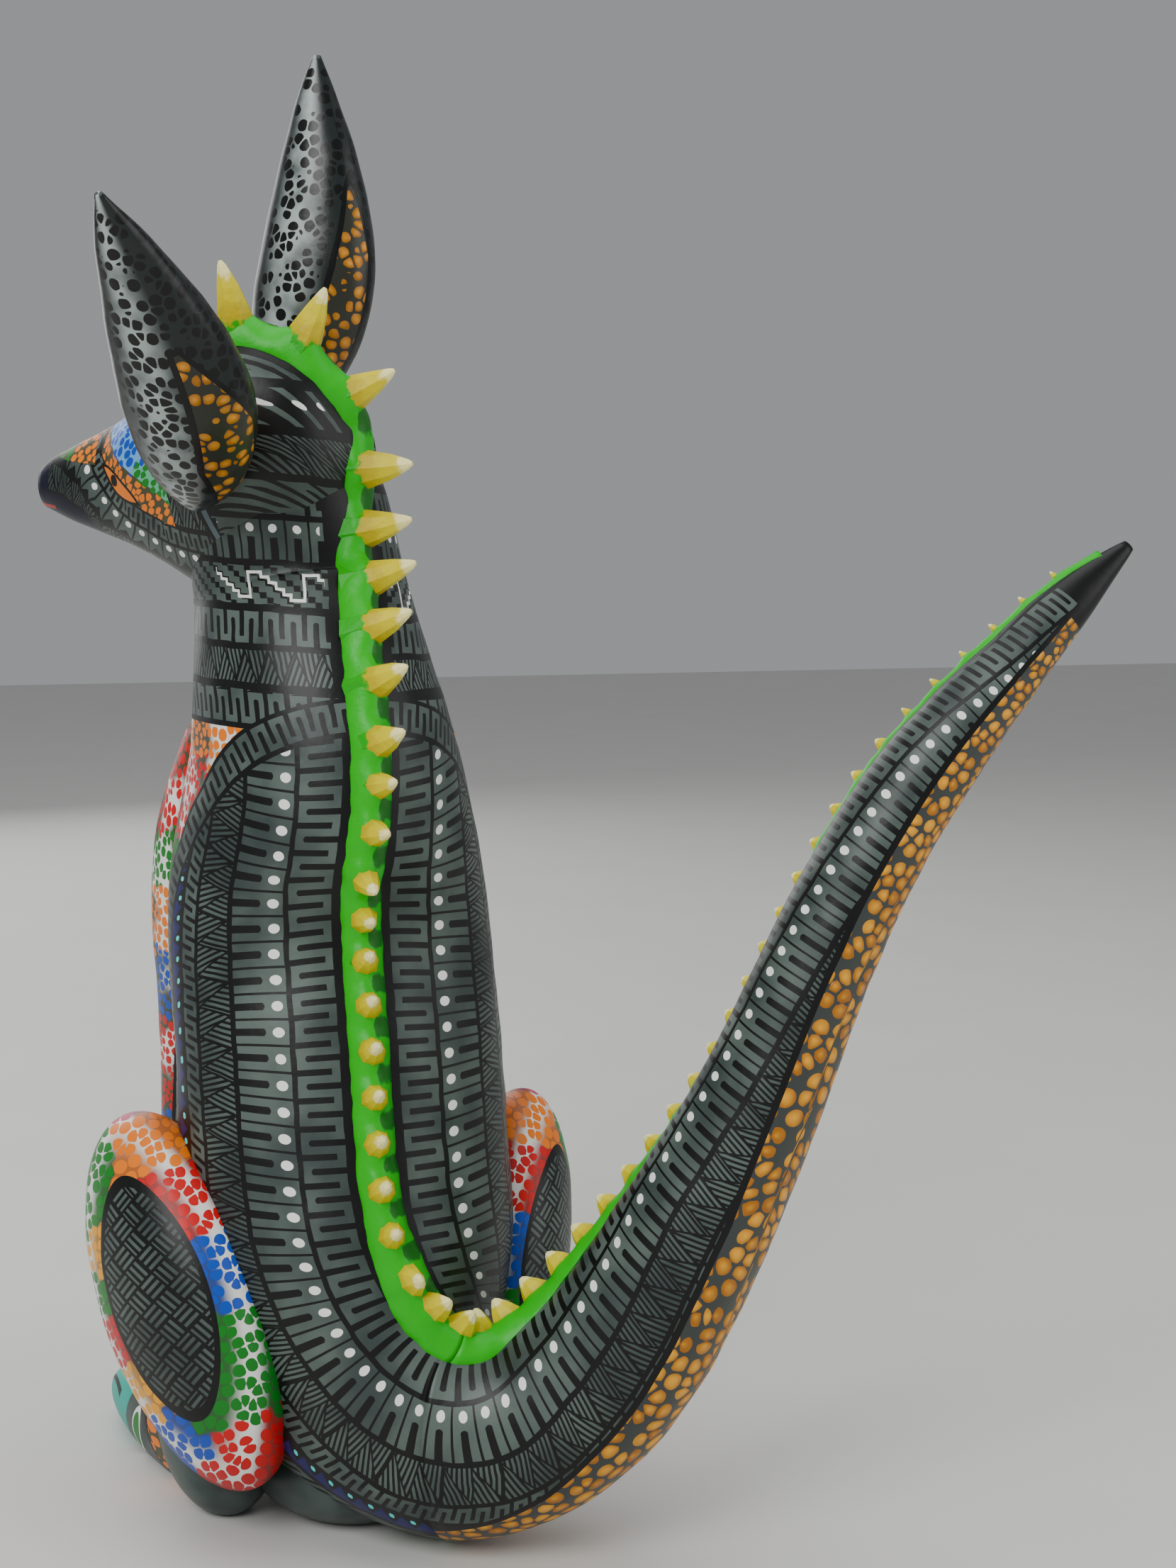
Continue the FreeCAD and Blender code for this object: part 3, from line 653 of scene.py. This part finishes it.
# Painted dots packed over a surface, whose UV counts in dots.
# Gives the mask, the closeness to a dot's middle, the dot's place and a chance value for each dot.
def dots(tree, zoom=1.0, tight=0.64, randomness=0.85):
    source = addNode(tree, "UVMap", uv_map="cells").outputs[0]
    near, after, disc = (
        addNode(tree, "TexVoronoi", {"Vector": source, "Scale": zoom, "Randomness": randomness},
                voronoi_dimensions="2D", feature=feature) for feature in ("F1", "F2", "N_SPHERE_RADIUS"))
    reach = Field(tree, near.outputs["Distance"])
    share = reach / Field(tree, after.outputs["Distance"])
    place = addNode(tree, "SeparateXYZ", {0: near.outputs["Position"]})
    chance = addNode(tree, "SeparateXYZ", {0: near.outputs["Color"]})
    mask = (reach < Field(tree, disc.outputs["Radius"]) * 0.98) | ((share < tight) & (reach < 0.5))
    middle = (Field(tree, place.outputs[0]), Field(tree, place.outputs[1]))
    return mask, share, middle, Field(tree, chance.outputs[0])


# Dots cut through a solid packing of balls, so that they differ in size: mask and closeness to the middle
def ballDots(tree, vector, pitch, randomness):
    shape = {"Vector": vector, "Scale": 1 / pitch, "Randomness": randomness}
    near, after = (Field(tree, addNode(tree, "TexVoronoi", shape, feature=feature).outputs["Distance"])
                   for feature in ("F1", "F2"))
    return ((near / after) < 0.76) & (near < 0.5), near / after


def paintedMaterial(name, roughness=0.4):
    material = bpy.data.materials.new(name)
    material.use_nodes = True
    tree = material.node_tree
    shader = tree.nodes["Principled BSDF"]
    shader.inputs["Roughness"].default_value = roughness
    shader.inputs["Specular IOR Level"].default_value = 0.32
    return material, tree, shader


# Colour with a faint brush grain, and the paint that stands up from it
def finishPaint(tree, shader, colour, raised=None, depth=0.12):
    connect(tree, shader.inputs["Base Color"], colour)
    vector, _ = placeFields(tree)
    height = noiseField(tree, vector, 1.6, 3.0) * 0.05
    if raised is not None:
        height = height + raised * depth
    bump = addNode(tree, "Bump", {"Height": height, "Distance": 0.001, "Strength": 1.0})
    tree.links.new(bump.outputs[0], shader.inputs["Normal"])


def slate(tree, vector):
    tone = noiseField(tree, vector, 16, 3.0).ramp(0.3, 0.7)
    return mixColour(tree, tone, "slateDark", "slatePale")


# Slate of a meander row: black fingers of one width reach in by turns from both edges, short of the far bar
def meander(across, along, edges, period, half=0.66, bar=1.7):
    low, high = edges
    fold = along.fold(period / 2)
    inner = (fold < half) & ((across + fold * fold * 0.9) < high - bar)
    outer = (fold > period / 2 - half) & (across > low + bar)
    row = across.within(low, high)
    return row - ((inner | outer) & row)


# Slate of a row of triangles, each hatched its own way
def zigzag(across, along, edges, period, stripe=0.62, black=0.3):
    low, high = edges
    rise = (across - low) * (period / 2 / (high - low))
    apart = along.fold(period / 2) - rise
    above = apart > 0
    one = (along + rise).fold(stripe) < black
    two = (along - rise * 0.4).fold(stripe) < black
    row = across.within(low, high)
    return row - (((above & one) | (~above & two) | (apart.size() < 0.26)) & row)


# Rows on the back and tail, in millimetres out from the ridge
backRowsAt = dict(
    meander=(6.4, 15.5), comb=(16.7, 28.7), hatch=(30, 39), smallMeander=(40.2, 45.2), arrows=(46.6, 51.4),
    toothStep=2.75, dotAt=18.9, archWidth=52, archFrom=125, archHigh=49, chestTop=173.8)


# Slate of the rows outward from the ridge, and the comb's white dots
def backRows(across, along):
    rows = backRowsAt
    wide = meander(across, along[0], rows["meander"], 5.9)
    tooth = (along[1] + across * 0.12).fold(rows["toothStep"])
    fromTooth = tooth * -1 + rows["toothStep"]
    gap = (tooth > 1.95) & ((across - fromTooth * fromTooth * 0.7) > 21.7)
    comb = across.within(*rows["comb"]) & ~((tooth < 0.27) | gap)
    dot = (fromTooth / 1.05).length((across - rows["dotAt"]) / 1.3) < 1.0
    hatch = zigzag(across, along[2], rows["hatch"], 6.8)
    small = meander(across, along[3] + across * 0.45, rows["smallMeander"], 4.3, 0.5, 1.15)
    return wide | comb | hatch | small, dot


def backMaterial():
    # satin acrylic brushed on carved copal wood: dark, fine ruled rows with a soft sheen
    material, tree, shader = paintedMaterial("acrylicBack")
    vector, (x, _, z) = placeFields(tree)
    across, near = uvFields(tree, "rowsNear")
    combRun, hatchRun = uvFields(tree, "rowsDots")
    smallRun, arrowRun = uvFields(tree, "rowsFar")
    across = wobbled(tree, vector, across)
    rows, dot = backRows(across, (near, combRun, hatchRun, smallRun))
    arrowStep, arrowFrom = 2.6, backRowsAt["arrows"][0]
    arrow = across.within(*backRowsAt["arrows"])
    arrow = arrow & ((arrowRun.fold(arrowStep) * 1.7 - (across - arrowFrom)) < 0)
    fleck = ((arrowRun.fold(arrowStep) - 2.4) / 0.45).length((across - 48.0) / 0.8) < 1.0
    # the rows end in an arch below the neck, edged with a meander
    above = (z - backRowsAt["archFrom"]).math("MAXIMUM", 0.0)
    arch = (across / backRowsAt["archWidth"]).length(above / backRowsAt["archHigh"])
    inside = arch < 1.0
    past = (arch - 1) * backRowsAt["archWidth"]
    run = above.math("ARCTAN2", across) * 50 + (z - backRowsAt["archFrom"]).math("MINIMUM", 0.0)
    border = meander(past, run, (1.2, 7.6), 4.6, 0.55, 1.3)
    level = z - x * 0.06
    collar = meander(level, across, (175, 181.6), 5.0, 0.6, 1.4)
    outside = arch > 1.165
    chest = outside & (level < backRowsAt["chestTop"])
    dotMask, _, _, chance = dots(tree)
    band = z + chance * 4 + noiseField(tree, vector, 10, 1.0) * 8
    hue = patchColours(tree, band, 0, 200, [
        (0, "green"), (38, "orange"), (62, "blue"), (84, "red"), (106, "blue"), (124, "orange"), (141, "green"),
        (154, "red"), (172, "orange")])
    ground = mixColour(tree, noiseField(tree, vector, 14, 1.0).ramp(0.4, 0.55), "#4a4a3a", "#e9e9e4")
    colour = layered(
        tree, "black", ((rows & inside) | border | (collar & outside), slate(tree, vector)),
        (dot & inside, "white"), (arrow & inside, "violet"), (fleck & inside, "cyan"),
        (chest, mixColour(tree, dotMask, ground, hue)))
    finishPaint(tree, shader, colour, dotMask & chest)
    return material


# Rows round the neck and the back of the head, by height: meanders and hatched rows with their shapes first
neckRows = dict(
    meanders=[((175, 181.6), 5.0, 0.6, 1.4), ((191.8, 198.4), 5.0, 0.6, 1.4), ((219.8, 226.6), 5.2, 0.6, 1.4),
              ((248.5, 258), 4.6, 0.6, 1.5)],
    hatches=[((183.3, 190.3), 6.0), ((228.4, 236.4), 6.4)], stairs=(200, 208.4), forks=(209.8, 218.4),
    bars=(238.5, 246.5), crown=(259.5, 270), forkStep=2.6, ridgeEdge=7.2)
stairs = dict(tread=1.55, rise=1.12, low=201.4, steps=5.0, treads=8.0, line=0.33)


# White stepped line: five treads rise one by one and then it drops
def stairLine(across, level):
    before, after = (((across + shift) / stairs["tread"]).math("FLOOR").math("FLOORED_MODULO", stairs["treads"])
                     for shift in (-0.3, 0.3))
    before, after = ((tread - 1).math("MAXIMUM", 0.0).math("MINIMUM", stairs["steps"]) * stairs["rise"]
                     + stairs["low"] for tread in (before, after))
    line = stairs["line"]
    return (level < (before | after) + line) & (level > before.math("MINIMUM", after) - line)


def neckMaterial():
    # satin acrylic brushed on carved copal wood: black with slate bands and bright white dots
    material, tree, shader = paintedMaterial("acrylicNeck")
    vector, (x, _, z) = placeFields(tree)
    across, _ = uvFields(tree, "rowsNear")
    across = wobbled(tree, vector, across)
    level = wobbled(tree, vector, z - x * 0.08, 9.0, 1.4)
    rows = neckRows
    fret = (level - ((across + 0.7) / stairs["tread"]).math("FLOOR") * stairs["rise"]).fold(1.9)
    paint = level.within(*rows["stairs"]) & (fret > 0.66)
    for edges, *shape in rows["meanders"]:
        paint = paint | meander(level, across, edges, *shape)
    for edges, period in rows["hatches"]:
        paint = paint | zigzag(level, across, edges, period)
    fork = across.fold(rows["forkStep"])
    paint = paint | (level.within(*rows["forks"]) & ~((fork < 0.25) | ((fork > 1.75) & (level < 214.6))))
    beads = ((fork * -1 + rows["forkStep"]) / 0.95).length((level - 216.6) / 0.95) < 1.0
    bars = (across + 1).fold(2.3)
    paint = paint | (level.within(*rows["bars"]) & (bars < 0.7))
    beads = beads | ((bars / 0.9).length((level - 243.4) / 0.9) < 1.0)
    paint = paint | (level.within(*rows["crown"]) & (across.fold(1.6) > 0.5))
    line = stairLine(across, level) & level.within(200.4, 208.2) & across.within(8, 34)
    colour = layered(tree, "black", (paint & (across > rows["ridgeEdge"]), slate(tree, vector)),
                     (line | (beads & (across > 8)), "white"))
    finishPaint(tree, shader, colour)
    return material


# Where the tail's paint changes, in millimetres past the joint or past the underside's edge
tailPaintAt = dict(goldEnd=222, blackTip=225, blackEdge=-1.6)


def tailMaterial():
    # satin acrylic on copal wood, with thick ochre dots along the underside, each painted lighter in its middle
    # and darker at its rim as a painted highlight, with some random tone
    material, tree, shader = paintedMaterial("acrylicTail")
    vector, _ = placeFields(tree)
    across, near = uvFields(tree, "rowsNear")
    combRun, hatchRun = uvFields(tree, "rowsDots")
    smallRun, _ = uvFields(tree, "rowsFar")
    past, under = uvFields(tree, "tailPast")
    across = wobbled(tree, vector, across)
    rows, dot = backRows(across, (near, combRun, hatchRun, smallRun))
    gold = (under > 0) & (past < tailPaintAt["goldEnd"])
    plain = (under > tailPaintAt["blackEdge"]) | (past > tailPaintAt["blackTip"])
    dotMask, share, _, chance = dots(tree, tight=0.7, randomness=0.8)
    # each dot is painted light in its middle and dark at its rim: a painted highlight on the raised dot, varied
    # by chance
    ochre = mixColour(tree, (chance * 0.6 - share + 0.5).ramp(0, 1), "#a8660a", "#f2ac28")
    ground = mixColour(tree, under.ramp(0, 22), "#3a3f3d", "#54564a")
    colour = layered(tree, "black", (rows & ~plain, slate(tree, vector)), (dot & ~plain, "white"),
                     (gold, mixColour(tree, dotMask, ground, ochre)))
    finishPaint(tree, shader, colour, dotMask & gold & (share * -1 + 1.25), 0.5)
    return material


# Rows on the face, out from the line of white dots, and places along and up the head
faceAt = dict(
    meander=(2.4, 6.8), flags=(-4.8, 1.5), lowHatch=(-10.6, -5.6), highHatch=(8.2, 16), flagStep=1.9,
    eye=(28.5, -0.5), eyeHalf=1.75, pupil=1.8, brow=34.5, bridge=36, greenFrom=43, noseFrom=51.0, mouthUp=-7.6)


def faceMaterial():
    # satin acrylic brushed on carved copal wood: rows on the cheeks, dots on the brow and bridge
    material, tree, shader = paintedMaterial("acrylicFace")
    vector, _ = placeFields(tree)
    ahead, up = uvFields(tree, "headSide")
    off, left = uvFields(tree, "rowsNear")
    out = left.size()
    ahead = wobbled(tree, vector, ahead, 4.0, 0.5)
    up = wobbled(tree, vector, up, 4.0, 0.5)
    row, run = uvFields(tree, "faceRows")
    row = wobbled(tree, vector, row, 4.0, 0.5)
    paint = meander(row, run, faceAt["meander"], 3.0, 0.4, 1.0)
    flag = run.fold(faceAt["flagStep"])
    paint = paint | (row.within(*faceAt["flags"]) & (flag > 0.24) & ((row - flag * 1.3) > faceAt["flags"][0]))
    bead = ((flag * -1 + faceAt["flagStep"]) / 0.8).length((row - 0.1) / 0.9) < 1.0
    paint = paint | zigzag(row, run, faceAt["lowHatch"], 4.4, 0.45, 0.22)
    paint = paint | zigzag(row, run, faceAt["highHatch"], 5.0, 0.5, 0.25)
    # the eye's own length and breadth, which slope down towards the nose
    eyeAhead, eyeUp = faceAt["eye"]
    along = (ahead - eyeAhead) * 0.8 + (up - eyeUp) * 0.6
    across = (up - eyeUp) * 0.8 - (ahead - eyeAhead) * 0.6
    dotMask, _, (cellAhead, _), chance = dots(tree)
    topZone = ((row > 7.4) & (ahead > 14.5)) | ((up > 3.0) & (ahead > faceAt["bridge"]))
    onBrow = ahead < faceAt["brow"]
    cool = (along + chance * 3) > -1
    browHue = mixColour(tree, (across + chance) > 6.0, "orange", mixColour(tree, cool, "green", "blue"))
    bridgeHue = mixColour(tree, cellAhead * dotPitch["face"] > faceAt["greenFrom"], "orange", "green")
    hue = mixColour(tree, (ahead > faceAt["brow"]) | (across > 15), browHue, bridgeHue)
    ground = mixColour(tree, (across > 6.0) & onBrow, "#46452c", mixColour(tree, cool, "#5fb08a", "#6aa6dc"))
    rimLine = (ahead - faceAt["brow"] + (up - 6) * 0.25).size() < 0.8
    lid = across.size() - (along * along * -0.055 + faceAt["eyeHalf"])
    pupil = ((along - faceAt["pupil"]) / 1.2).length(across / 1.5)
    muzzle = (ahead > faceAt["noseFrom"]) | ((row < -11.4) & (ahead > 7))
    mouth = ((up - faceAt["mouthUp"]).size() < 0.5) & ahead.within(50.5, 55.0) & (out > 1.0)
    jaw = (uvFields(tree, "jawEdge")[0] - 0.4).size()
    # rows and dots, then eye and mouth, then a slate line edged in black from the ear round the jaw
    colour = layered(
        tree, "black", (paint, slate(tree, vector)), (bead & (ahead > 5), "white"),
        (topZone, mixColour(tree, dotMask, ground, hue)), (rimLine & (row > 6.0) & (across < 15), "black"),
        ((lid < 0.8) & (out > 5), "black"), ((lid < 0) & (out > 5), "#ee7c0a"),
        ((pupil < 1.0) & (out > 5), "black"), (muzzle, "#070a22"), (mouth, "#b01414"), ((jaw < 2.0) & (up < 20), "black"),
        ((jaw < 0.75) & (up < 20), "#56646a"), ((off < 7.2) & (ahead < 15), "black"))
    finishPaint(tree, shader, colour, dotMask & topZone)
    return material


def earMaterial():
    # glossier silver-grey acrylic with black dots, a painted highlight down the ear with painted shade either
    # side of it, and a panel of thick ochre ones
    material, tree, shader = paintedMaterial("acrylicEar", 0.3)
    vector, _ = placeFields(tree)
    panel, height = uvFields(tree, "earPanel")
    turn, _ = uvFields(tree, "earTurn")
    dotMask, _ = ballDots(tree, vector, dotPitch["ears"], 0.75)
    # painted highlight: bright silver in a band 100 degrees round from the ear's back, broken up by noise, and
    # dark silver as painted shade elsewhere
    paintedHighlight = (turn - 100).size().ramp(2, 38, 1.0, 0.0)
    paintedHighlight = paintedHighlight & noiseField(tree, vector, 7, 2.0).ramp(0.2, 0.6, 0.2, 1.0)
    goldMask, share = ballDots(tree, vector, dotPitch["earPanels"], 0.8)
    # each ochre dot is painted light in its middle and dark at its rim: a painted highlight on the raised dot,
    # varied by noise
    tone = (noiseField(tree, vector, 3.0, 1.0) * 0.6 - share + 0.5).ramp(0, 1)
    ochre = mixColour(tree, goldMask, "#2e3028", mixColour(tree, tone, "#a0620c", "#f0a62c"))
    silver = mixColour(tree, paintedHighlight, "#1d2423", "#a9b4b2")
    colour = layered(tree, silver, (dotMask & (height < 81), "black"), (panel > -1.3, "black"),
                     (panel > 0, ochre))
    finishPaint(tree, shader, colour, goldMask & (panel > 0) & (share * -1 + 1.2), 0.4)
    return material


# The haunch's basket patch: middle and half size, round the haunch and along it, and the weave's squares
haunchPatch = dict(middle=(14.5, 2), half=(12.2, 26), square=5.2, strand=0.85, gap=0.42, border=0.35)


# Slate of a basket weave, its strands lying by turns each way
def basketWeave(around, along):
    first, second = around + along * 0.62, along - around * 0.45
    square, strand, gap = (haunchPatch[key] for key in ("square", "strand", "gap"))
    turned = ((first / square).math("FLOOR") + (second / square).math("FLOOR")).math("FLOORED_MODULO", 2.0)
    strands = (turned & (first.fold(strand) > gap)) | (~turned & (second.fold(strand) > gap))
    border = haunchPatch["border"]
    return strands & (first.fold(square / 2) > border) & (second.fold(square / 2) > border)


def haunchMaterial():
    # acrylic dots in patches of colour round a panel painted like basketwork, each dot standing up a little
    material, tree, shader = paintedMaterial("acrylicHaunch")
    vector, _ = placeFields(tree)
    around, along = uvFields(tree, "eggSpread")
    dotMask, _, (cellTurn, cellHigh), chance = dots(tree, tight=0.76, randomness=0.78)
    high = cellHigh * (2.9 / 1.12) + chance * 2 - 1
    rear = patchColours(tree, high, -50, 50, [
        (-50, "red"), (-27, "green"), (-6, "blue"), (10, "red"), (25, "orange"), (39, "crimson")])
    front = patchColours(tree, high, -50, 50, [
        (-50, "red"), (-32, "blue"), (-20, "yellow"), (-8, "red"), (3, "green"), (11, "yellow"), (19, "green"),
        (38, "crimson")])
    hue = mixColour(tree, cellTurn > -1.5, front, rear)
    (middleAround, middleAlong), (halfAround, halfAlong) = haunchPatch["middle"], haunchPatch["half"]
    oval = ((around - middleAround) / halfAround).length((along - middleAlong) / halfAlong)
    shaded = oval.ramp(1.15, 1.55, 1.0, 0.0) | oval.ramp(1.65, 2.0, 0.0, 1.0)
    ground = mixColour(tree, shaded, "#ecece6", mixColour(tree, 0.5, hue, "#3a3d36"))
    basket = mixColour(tree, basketWeave(around, along) & (oval < 0.94), "black", slate(tree, vector))
    colour = layered(tree, basket, (oval > 1.04, mixColour(tree, dotMask, ground, hue)),
                     ((around > 54) | (around < -40), "#101213"))
    finishPaint(tree, shader, colour, dotMask & (oval > 1.04), 0.2)
    return material


def forelegMaterial():
    # acrylic dots in bands of colour down the leg, with a meander edge on black behind
    material, tree, shader = paintedMaterial("acrylicForeleg")
    vector, (_, _, z) = placeFields(tree)
    off, _ = uvFields(tree, "legRows")
    dotMask, _, _, chance = dots(tree, tight=0.66)
    hue = patchColours(tree, z + chance * 4 + noiseField(tree, vector, 10, 1.0) * 8, 0, 190, [
        (0, "#14a89a"), (16, "green"), (36, "orange"), (62, "blue"), (86, "red"), (108, "blue"),
        (124, "orange"), (141, "green"), (154, "red")])
    ground = mixColour(tree, noiseField(tree, vector, 12, 1.0).ramp(0.45, 0.6), "#ecece6", "olive")
    edge = meander(off, z, (2.0, 8.0), 4.4, 0.5, 1.2)
    colour = layered(tree, mixColour(tree, dotMask, ground, hue), (off < 9.2, "black"),
                     (edge, slate(tree, vector)))
    finishPaint(tree, shader, colour, dotMask & (off > 9.2), 0.2)
    return material


footPaintAt = dict(toesFrom=-39, clawsFrom=-46, leaf=(-32, 6.5), leafHalf=(2.1, 4.6), dotsFrom=-29, dotsTo=-3)


def footMaterial():
    # slate acrylic with turquoise toes, a green leaf and a patch of orange dots
    material, tree, shader = paintedMaterial("acrylicFoot")
    vector, (x, y, z) = placeFields(tree)
    slateTone = mixColour(tree, noiseField(tree, vector, 12, 2.0).ramp(0.3, 0.7), "#2c3836", "#4e5a56")
    lean = y + (z - 14) * 0.9
    patch = (lean > footPaintAt["dotsFrom"]) & (y < footPaintAt["dotsTo"])
    edge = (lean > footPaintAt["dotsFrom"] - 1.2) & (y < footPaintAt["dotsTo"] + 2)
    dotMask, _, _, _ = dots(tree, zoom=0.9, tight=0.66)
    (leafY, leafZ), (halfY, halfZ) = footPaintAt["leaf"], footPaintAt["leafHalf"]
    leaf = ((y - leafY) / halfY).length((z - leafZ) / halfZ)
    claws = ((x.size() + 1.2).fold(1.8) < 0.3) & (y < footPaintAt["clawsFrom"]) & (z > 5)
    colour = layered(
        tree, slateTone, (edge, "black"), (patch, mixColour(tree, dotMask, "olive", "orange")),
        (leaf < 1.25, "#e8e8e4"), (leaf < 0.95, "green"), (y < footPaintAt["toesFrom"], "turquoise"),
        (claws, "black"))
    finishPaint(tree, shader, colour, dotMask & patch, 0.2)
    return material


def ridgeMaterial():
    # bright green acrylic over hand-modelled filler, with painted shadow in darker green below each thorn
    material, tree, shader = paintedMaterial("acrylicRidge", 0.42)
    vector, _ = placeFields(tree)
    turn, shadow = uvFields(tree, "ridgeShade")
    lumps = noiseField(tree, vector, 3, 2.0)
    # the painted shadow of each thorn lies on one side of the ridge only; random lumps darken the green here
    # and there as well
    oneSide = (turn - 5.45).size().ramp(0.5, 0.85, 1.0, 0.0)
    shade = (shadow * oneSide + (lumps - 0.5) * 0.9).ramp(0.45, 0.7)
    finishPaint(tree, shader, mixColour(tree, shade, "#00b405", "#086a06"), lumps, 0.25)
    return material


def thornMaterial():
    # ochre-yellow acrylic, green at the foot and dabbed with cream at the point
    material, tree, shader = paintedMaterial("acrylicThorn", 0.45)
    vector, _ = placeFields(tree)
    _, height = uvFields(tree, "thornHeight")
    height = height + noiseField(tree, vector, 2.2, 2.0, -0.5) * 0.35
    colour = layered(tree, "#06a806", (height.ramp(0.18, 0.26), "#c4ae00"), (height.ramp(0.3, 0.62), "#dccb04"),
                     (height.ramp(0.74, 0.86), "#fff6a8"))
    finishPaint(tree, shader, colour, noiseField(tree, vector, 1.5, 2.0), 0.2)
    return material


def floorMaterial():
    # matt painted board, nearly even in tone
    material, tree, shader = paintedMaterial("paleFloor", 0.6)
    vector, _ = placeFields(tree)
    board = mixColour(tree, noiseField(tree, vector, 60, 3.0), "#cfcfcb", "#d6d6d2")
    connect(tree, shader.inputs["Base Color"], board)
    return material


def pegMaterial():
    # bare copal wood, painted black where the ears' pegs leave the skull
    material, tree, shader = paintedMaterial("copalWood", 0.6)
    vector, _ = placeFields(tree)
    centred = addNode(tree, "VectorMath", {0: vector, 1: tuple(skull)}, operation="SUBTRACT")
    sideways = addNode(tree, "VectorMath", {0: centred.outputs[0], 1: tuple(headLeft)}, operation="DOT_PRODUCT")
    reach = Field(tree, sideways.outputs["Value"]).size()
    wood = mixColour(tree, noiseField(tree, vector, 2.5, 3.0), "#b98a58", "#d9b27c")
    connect(tree, shader.inputs["Base Color"], mixColour(tree, reach.within(12, 23.5), wood, "black"))
    return material


# The neck's paint takes over from the back's at the first height, and from the face's behind the jaw
neckFrom, behindJaw = 183.1, 1.4
neckPaint = neckMaterial()
trunkPiece.data.materials.append(backMaterial())
trunkPiece.data.materials.append(neckPaint)
for face in trunkPiece.data.polygons:
    face.material_index = int(face.center.z > neckFrom * mm)
headPiece.data.materials.append(faceMaterial())
headPiece.data.materials.append(neckPaint)
for face in headPiece.data.polygons:
    local = np.array(face.center) / mm - skull
    jawAt = np.interp(local @ headUp, head["jawUp"], head["jawAhead"])
    face.material_index = int(local @ headAhead < jawAt - behindJaw)
tailPiece.data.materials.append(tailMaterial())
legPaints = dict(haunch=haunchMaterial(), foreleg=forelegMaterial())
footPaint = footMaterial()
for name, piece in legPieces.items():
    kind = name.removesuffix("Left").removesuffix("Right")
    piece.data.materials.append(legPaints.get(kind, footPaint))
earPaint = earMaterial()
for piece in earPieces.values():
    piece.data.materials.append(earPaint)
ridgePaint = ridgeMaterial()
for piece in (backRidgePiece, tailRidgePiece):
    piece.data.materials.append(ridgePaint)
thornPaint = thornMaterial()
for piece in thornPieces.values():
    piece.data.materials.append(thornPaint)
pegPaint = pegMaterial()
for name in ("tail_peg", "ear_peg_left", "ear_peg_right"):
    nodes[name].data.materials.clear()
    nodes[name].data.materials.append(pegPaint)
print("stage materials")

figurePieces = bodyPieces + [tailPiece]
for piece in figurePieces + [backRidgePiece, tailRidgePiece] + list(thornPieces.values()):
    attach(piece, "figure")
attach(earPieces["Left"], "left_ear")
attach(earPieces["Right"], "right_ear")
for piece in bodyPieces:
    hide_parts("body")
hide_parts("tail")
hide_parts("ear_left")
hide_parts("ear_right")
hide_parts("back_ridge")
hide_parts("tail_ridge")
cadNames = dict(headSpines="head_spine", neckSpines="neck_spine", backSpines="back_spine",
                rumpSpines="rump_spine", tailSpines="tail_spine")
for group, piece in thornPieces.items():
    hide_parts(*[f"{cadNames[group]}_{i + 1:02d}" for i in range(spines[group][2])])

# Floor, lights and camera, in metres
floorMesh = bpy.data.meshes.new("floor")
span = 3.0
corners = [(-span, span, 0), (span, span, 0), (span, -span, 0), (-span, -span, 0)]
floorMesh.from_pydata(corners, [], [(0, 3, 2, 1)])
floorPiece = bpy.data.objects.new("floor", floorMesh)
bpy.context.scene.collection.objects.link(floorPiece)
floorPiece.data.materials.append(floorMaterial())


def softLight(name, place, target, size, watts, tint="#ffffff"):
    data = bpy.data.lights.new(name, "AREA")
    data.size = size
    data.energy = watts
    data.color = hexColour(tint)[:3]
    lamp = bpy.data.objects.new(name, data)
    lamp.location = place
    lamp.rotation_euler = (Vector(target) - Vector(place)).to_track_quat("-Z", "Y").to_euler()
    bpy.context.scene.collection.objects.link(lamp)


middle = (0, 0.02, 0.14)
softLight("keySoftbox", (0.75, 0.75, 0.95), middle, 0.7, 13)
softLight("fillSoftbox", (-0.9, 0.6, 0.5), middle, 0.8, 4.2)
softLight("topSoftbox", (0, -0.1, 1.2), middle, 0.9, 5)
softLight("frontSoftbox", (0.2, -1.1, 0.6), middle, 0.9, 5)
world = bpy.data.worlds.new("studio")
world.use_nodes = True
world.node_tree.nodes["Background"].inputs["Color"].default_value = hexColour("#d9dbdd")
world.node_tree.nodes["Background"].inputs["Strength"].default_value = 0.45
bpy.context.scene.world = world

cameraData = bpy.data.cameras.new("camera")
cameraData.lens = 52
cameraData.sensor_width = 36
cameraData.clip_start = 0.01
camera = bpy.data.objects.new("camera", cameraData)
pitch = math.atan(310 / 2889)
heading = math.radians(18)
away = Vector((-math.sin(heading) * math.cos(pitch), -math.cos(heading) * math.cos(pitch), -math.sin(pitch)))
camera.location = Vector((101.4, 490.7, 215)) * mm
camera.rotation_euler = away.to_track_quat("-Z", "Y").to_euler()
bpy.context.scene.collection.objects.link(camera)
bpy.context.scene.camera = camera
print("stage camera and lights")
